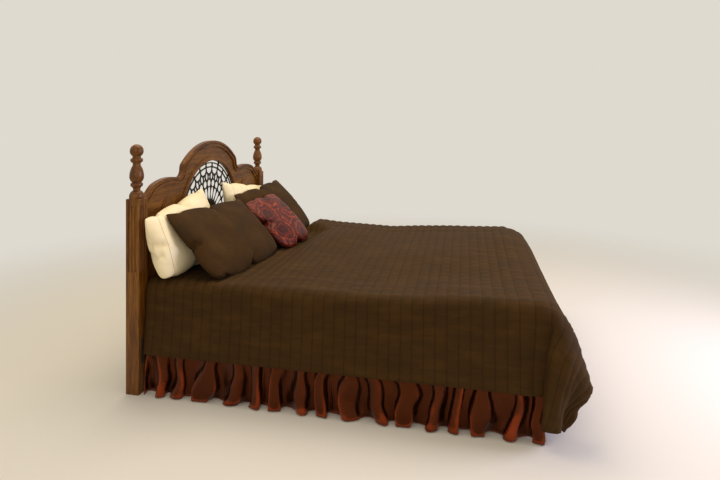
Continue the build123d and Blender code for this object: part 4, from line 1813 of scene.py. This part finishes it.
def rounded_block(
    low: np.ndarray, high: np.ndarray, radius: float, step: float
) -> tuple[np.ndarray, Faces, np.ndarray]:
    """A block with rounded edges, as a closed mesh of even cells.

    Args:
        low: Its lowest corner.
        high: Its highest corner.
        radius: The edges' radius.
        step: The size of a cell.

    Returns:
        The points, the faces and the points' places on the flat cloth.
    """
    mesh = bmesh.new()
    bmesh.ops.create_cube(mesh, size=1.0)
    size, middle = high - low, (high + low) / 2
    for axis in range(3):
        # Only the cube's long edges lie along an axis that isn't cut yet
        edges = [e for e in mesh.edges if abs((e.verts[0].co - e.verts[1].co)[axis]) > 0.5]
        cuts = max(int(size[axis] / step), 2)
        bmesh.ops.subdivide_edges(mesh, edges=edges, cuts=cuts, use_grid_fill=True)
    points = np.array([tuple(v.co) for v in mesh.verts]) * size + middle
    core = np.clip(points, low + radius, high - radius)
    away = points - core
    length = np.linalg.norm(away, axis=1, keepdims=True)
    points = np.where(length > 0, core + away / np.maximum(length, TINY) * radius, points)
    faces = [tuple(v.index for v in f.verts) for f in mesh.faces]
    mesh.free()
    # The cover unfolds over the long sides, so its stripes stand upright at the ends
    beside = np.abs(points[:, 1] - middle[1]) > size[1] / 2 - radius
    drop = np.where(beside, high[2] - points[:, 2], 0.0)
    across = points[:, 1] + np.sign(points[:, 1]) * drop
    return points, faces, np.stack([across, points[:, 0] - points[:, 2]], axis=1)


def tape_edge(
    low: np.ndarray, high: np.ndarray, corner: float, height: float, radius: float
) -> tuple[np.ndarray, Faces]:
    """The bound edge that runs round a mattress as a thin roll.

    Args:
        low: The block's lowest corner.
        high: Its highest corner.
        corner: The radius of its corners in plan.
        height: The roll's height.
        radius: The roll's radius.

    Returns:
        The points and the faces.
    """
    sides = 8
    path, outs = rounded_ring(low, high, corner, 9)
    around = [math.tau * k / sides for k in range(sides)]
    points = [
        place + (0.0, 0.0, height) + radius * (out * math.cos(a) + (0.0, 0.0, math.sin(a)))
        for place, out in zip(path, outs)
        for a in around
    ]
    faces = []
    for i in range(len(path)):
        a, b = i * sides, ((i + 1) % len(path)) * sides
        for k in range(sides):
            following = (k + 1) % sides
            faces.append((a + k, b + k, b + following, a + following))
    return np.array(points), faces


@dataclass
class TapedBlock:
    """The mattress or the box spring: a padded block with bound edges."""

    name: str
    node: str
    radius: float
    corner: float
    tape: float
    dimple: float
    fill: float
    step: float = 0.045
    # The distance between sewn dimples
    pitch: float = 0.18

    def build(self) -> Piece:
        """Makes the block.

        Returns:
            The finished piece.
        """
        low, high = (np.array(v, dtype=float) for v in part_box(self.node))
        # The bound edges stand out from the block by part of their roll
        inset = np.array((self.tape, self.tape, 0)) * 0.6
        points, faces, flat = rounded_block(low + inset, high - inset, self.radius, self.step)
        # Sewn dimples on a diamond grid draw the cover in
        x, y, z = points.T
        wave = np.cos(np.pi * (x + y) / self.pitch) * np.cos(np.pi * (x - y) / self.pitch)
        sink = self.dimple * np.clip(wave, 0, 1) ** 4
        points[:, 2] -= np.sign(z - (low[2] + high[2]) / 2) * sink
        edge = 0.8 * self.radius
        for height in (low[2] + edge, high[2] - edge):
            more, more_faces = tape_edge(
                low + self.tape, high - self.tape, self.corner, height, self.tape
            )
            faces += [tuple(len(points) + k for k in face) for face in more_faces]
            flat = np.concatenate([flat, more[:, :2]])
            points = np.concatenate([points, more])
        piece = cloth_object(self.name, points, faces, flat, TICKING)
        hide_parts(self.node)
        return piece


@dataclass
class SkirtDeck:
    """The muslin sheet between the box spring and the mattress, which carries the skirt."""

    thickness: float = 1 * MM
    step: float = 0.05
    # How high it lies in its place, and how far it is uneven
    lie: float = 0.6 * MM
    uneven: float = 0.3 * MM

    def build(self) -> Piece:
        """Makes the deck.

        Returns:
            The finished piece.
        """
        low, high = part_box("skirt_deck")
        rows, columns = (
            np.linspace(low[axis], high[axis], round((high[axis] - low[axis]) / self.step) + 1)
            for axis in (0, 1)
        )
        height = low[2] + self.lie + self.uneven * smooth_noise(rows, columns, 0.2, 5)
        grid = np.stack([*np.meshgrid(rows, columns, indexing="ij"), height], -1).reshape(-1, 3)
        faces = grid_faces(len(rows), len(columns))
        piece = cloth_object("muslin_deck", grid, faces, grid[:, 1::-1], MUSLIN)
        thicken(piece, self.thickness, 1)
        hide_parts("skirt_deck")
        return piece


# Hard parts


@dataclass
class HardParts:
    """The headboard, the ironwork and the steel frame, which keep their own solids."""

    nodes: dict[str, Piece]
    # How a solid's name starts, and its finish
    finishes: tuple[tuple[str, Finish], ...] = (
        ("post_", WOOD_UPRIGHT),
        ("finial_", WOOD_UPRIGHT),
        ("raised_panel_", WOOD_UPRIGHT),
        ("headboard_panel", WOOD_ACROSS),
        ("lower_rail", WOOD_ACROSS),
        ("crown_moulding", WOOD_ACROSS),
        ("arch_moulding", WOOD_ACROSS),
        ("grille", IRON),
        ("side_rail_", COATED),
        ("cross_rail_", COATED),
        ("legs_", COATED),
        ("bracket_", COATED),
        ("headboard_bolts", ZINC),
        ("glides", NYLON),
    )

    def build(self) -> None:
        """Gives each hard solid its finish."""
        for node, solid in self.nodes.items():
            for start, finish in self.finishes:
                if node.startswith(start):
                    solid.data.materials.clear()
                    solid.data.materials.append(finish.material())


@dataclass
class Rivets:
    """The round rivet heads that join the cross rails to the side rails."""

    radius: float = 6 * MM
    rise: float = 3.5 * MM
    # How far they stand in from a cross rail's ends, off its middle and under its top
    inset: float = 18 * MM
    off_middle: float = 4 * MM
    below: float = 3 * MM

    def tree(self) -> Tree:
        """The node tree that sets a domed head on each point.

        Returns:
            The tree.
        """
        kinds = {"Geometry": "Geometry", "Radius": "Float", "Rise": "Float"}
        tree, given = start_tree("rivet heads", **kinds, Steel="Material")
        inputs = {"Segments": 14, "Rings": 8, "Radius": 1.0}
        head = add_node(tree, "GeometryNodeMeshUVSphere", inputs=inputs)
        radius = given.pick("Radius")
        inputs = {"X": radius, "Y": radius, "Z": given.pick("Rise")}
        size = add_node(tree, "ShaderNodeCombineXYZ", inputs=inputs)
        inputs = {"Geometry": head, "Scale": size}
        shaped = add_node(tree, "GeometryNodeTransform", inputs=inputs)
        inputs = {"Points": given.pick("Geometry"), "Instance": shaped}
        placed = add_node(tree, "GeometryNodeInstanceOnPoints", inputs=inputs)
        return end_tree(tree, placed, given.pick("Steel"))

    def build(self) -> Piece:
        """Makes the rivets, under the side rails' flanges.

        Returns:
            The finished piece.
        """
        points = []
        for end in ("head", "middle", "foot"):
            low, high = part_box(f"cross_rail_{end}")
            middle = (low[0] + high[0]) / 2 + self.off_middle
            for y in (low[1] + self.inset, high[1] - self.inset):
                points.append((middle, y, high[2] - self.below))
        values = {"Radius": self.radius, "Rise": self.rise, "Steel": ZINC.material()}
        piece = grown("rivets", points, self.tree(), **values)
        smooth_faces(piece.data)
        return piece


# Studio


@dataclass
class Studio:
    """A pale floor, soft lights and the camera at the photograph's angle."""

    image_width: float = 720.0
    focal_pixels: float = 501.5
    horizon_pixel: float = 124.4
    image_middle: float = 240.0
    sensor: float = 36.0
    # How far the camera stands from the headboard's face, the middle line and the floor
    place: Place = (1.6945, -3.136, 1.41)
    yaw: float = math.radians(11.88)
    backdrop: str = "#dfdad0"
    floor_colour: str = "#dedbd4"
    # The floor's half width, and how far from the bed it starts to fade and is gone
    reach: float = 30.0
    fade: tuple[float, float] = (1.8, 5.0)
    sky_colour: str = "#fcf3e2"
    sky_strength: float = 0.56
    # Each light's name, place, aim, side, power in watts and colour
    lights: tuple[tuple, ...] = (
        ("overhead", (-0.4, 0.4, 4.4), (0.1, 0.0, 0.5), 3.2, 114.0, "#ffeed0"),
        ("side", (3.4, -0.2, 1.6), (0.2, 0.0, 0.6), 1.3, 70.0, "#e2dcfa"),
        ("fill", (0.2, -3.6, 2.2), (-0.6, 0.0, 0.8), 2.4, 18.0, "#ffeeda"),
    )

    def camera(self) -> None:
        """Sets the camera level, with its frame shifted down to the bed."""
        data = bpy.data.cameras.new("camera")
        assign(
            data,
            type="PERSP",
            sensor_width=self.sensor,
            lens=self.sensor * self.focal_pixels / self.image_width,
            shift_y=(self.horizon_pixel - self.image_middle) / self.image_width,
            clip_end=100.0,
        )
        camera = scene_object("camera", data)
        board = float(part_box("headboard_panel")[1][0])
        camera.location = Vector(self.place) + Vector((board, 0.0, 0.0))
        camera.rotation_euler = (math.radians(90), 0.0, self.yaw)
        bpy.context.scene.camera = camera

    def floor(self) -> None:
        """Lays a wide pale floor that fades into the background away from the bed."""
        floor = mesh_object("floor", np.array(SQUARE) * self.reach, [(0, 1, 2, 3)])
        paint = bpy.data.materials.new("pale floor")
        paint.use_nodes = True
        tree = paint.node_tree
        shader = tree.nodes["Principled BSDF"]
        feed(shader, {"Base Color": linear(self.floor_colour), "Roughness": 0.9})
        place = add_node(tree, "ShaderNodeTexCoord").pick("Object")
        away = add_node(tree, "ShaderNodeVectorMath", {"operation": "LENGTH"}, {0: place})
        inputs = {"Value": away.pick("Value"), "From Min": self.fade[0], "From Max": self.fade[1]}
        share = add_node(tree, "ShaderNodeMapRange", SMOOTH, inputs)
        seen = add_node(tree, "ShaderNodeLightPath").pick("Is Camera Ray")
        inputs = {"Color": linear(self.backdrop)}
        glow = add_node(tree, "ShaderNodeEmission", inputs=inputs)
        inputs = {0: share * seen, 1: Output(shader), 2: glow}
        mixed = add_node(tree, "ShaderNodeMixShader", inputs=inputs)
        feed(tree.nodes["Material Output"], {"Surface": mixed})
        floor.data.materials.append(paint)

    def world(self) -> None:
        """Lights the scene from all round and shows a pale background."""
        world = bpy.data.worlds.new("studio")
        world.use_nodes = True
        tree = world.node_tree
        base = tree.nodes["Background"]
        feed(base, {"Color": linear(self.sky_colour), "Strength": self.sky_strength})
        inputs = {"Color": linear(self.backdrop), "Strength": 1.0}
        shown = add_node(tree, "ShaderNodeBackground", inputs=inputs)
        path = add_node(tree, "ShaderNodeLightPath")
        seen = path.pick("Is Camera Ray").then("MAXIMUM", path.pick("Is Glossy Ray"))
        seen = seen.then("MAXIMUM", path.pick("Is Transmission Ray"))
        inputs = {0: seen, 1: Output(base), 2: shown}
        mixed = add_node(tree, "ShaderNodeMixShader", inputs=inputs)
        feed(tree.nodes["World Output"], {"Surface": mixed})
        bpy.context.scene.world = world

    def build(self) -> None:
        """Makes the whole studio."""
        bpy.context.scene.view_settings.view_transform = "Standard"
        self.camera()
        self.floor()
        self.world()
        for name, place, aim, side, power, colour in self.lights:
            data = bpy.data.lights.new(name, "AREA")
            assign(data, size=side, energy=power, color=linear(colour)[:3])
            lamp = scene_object(name, data)
            way = Vector(aim) - Vector(place)
            assign(lamp, location=place, rotation_euler=way.to_track_quat("-Z", "Y").to_euler())


# From the front one back, so that each is pressed in by those that lean on it
PILLOWS = (
    PillowSizes(
        name="red_cushion", node="cushion", slot="damask", finish=DAMASK,
        width=0.44, height=0.44, thickness=0.105, across=0.196, out=0.414, up=0.155,
        lean=46, turn=6, slope=0.03, hollow=0.05, fill=0.7,
    ),
    PillowSizes(
        name="brown_sham_near", node="sham_near", slot="sham_cotton", finish=SHAM,
        width=0.735, height=0.47, thickness=0.12, across=-0.372, out=0.319, up=0.165,
        lean=44, turn=6, slope=-0.03, hollow=0.035, fill=0.6, pressed_by=("red_cushion",),
    ),
    PillowSizes(
        name="brown_sham_far", node="sham_far", slot="sham_cotton", finish=SHAM,
        width=0.72, height=0.48, thickness=0.12, across=0.404, out=0.305, up=0.178,
        lean=42, turn=6, slope=0.07, hollow=0.045, fill=0.6, pressed_by=("red_cushion",),
    ),
    PillowSizes(
        name="white_pillow_near", node="pillow_near", slot="white_cotton", finish=PILLOWCASE,
        width=0.64, height=0.40, thickness=0.16, across=-0.512, out=0.112, up=0.19,
        lean=17, turn=0, slope=0.15, hollow=0.06, fill=0.6, pressed_by=("brown_sham_near",),
    ),
    PillowSizes(
        name="white_pillow_far", node="pillow_far", slot="white_cotton", finish=PILLOWCASE,
        width=0.64, height=0.40, thickness=0.16, across=0.384, out=0.112, up=0.19,
        lean=17, turn=0, slope=-0.16, hollow=0.06, fill=0.6,
        pressed_by=("brown_sham_near", "brown_sham_far"),
    ),
)  # fmt: skip


def bedding() -> list[Piece]:
    """Builds every soft piece.

    Returns:
        The pieces.
    """
    made = [
        TapedBlock(
            "inner_spring_mattress", "mattress",
            radius=0.034, corner=0.06, tape=7 * MM, dimple=6 * MM, fill=0.8,
        ).build(),
        TapedBlock(
            "upholstered_box_spring", "box_spring",
            radius=0.012, corner=0.03, tape=5 * MM, dimple=0.0, fill=0.95,
        ).build(),
        SkirtDeck().build(),
        Quilt().build(),
    ]  # fmt: skip
    low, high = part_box("mattress")
    foot, half = float(high[0]), float(high[1])
    # The panels are a little shorter than the sides that they hang from
    side_gap, foot_gap = 8 * MM, 12 * MM
    length, width = float(high[0] - low[0]) - side_gap, 2 * half - foot_gap
    middle = float(low[0] + high[0]) / 2
    top = float(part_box("skirt_deck")[1][2])
    side_reach, foot_reach = -35 * MM, -50 * MM
    for name, span, centre, turn, seed, *reaches in (
        # name, length, centre, turn about Z, seed, reach at its low and high end
        ("skirt_near", length, (middle, -half), math.pi, 1.7, side_reach, 0.0),
        ("skirt_far", length, (middle, half), 0.0, 5.3, 0.0, side_reach),
        ("skirt_foot", width, (foot, 0.0), -math.pi / 2, 9.1, foot_reach, foot_reach),
    ):
        panel = GatheredSkirt(f"satin_{name}", name, span, centre, turn, top, seed, *reaches)
        made.append(panel.build())
    leaning: dict[str, BVHTree] = {}
    for sizes in PILLOWS:
        front = [leaning[other] for other in sizes.pressed_by]
        piece, leaning[sizes.name] = StuffedPillow(sizes).build(front)
        made.append(piece)
    return made


def main() -> None:
    """Dresses the bed and sets the studio around it."""
    logging.basicConfig(level=logging.INFO, format="%(message)s")
    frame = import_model()
    Studio().build()
    HardParts(frame["nodes"]).build()
    pieces = bedding()
    pieces.append(Rivets().build())
    for piece in pieces:
        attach(piece, "root")
        LOG.info("%s: %d faces", piece.name, len(piece.data.polygons))


if __name__ == "__main__":
    main()
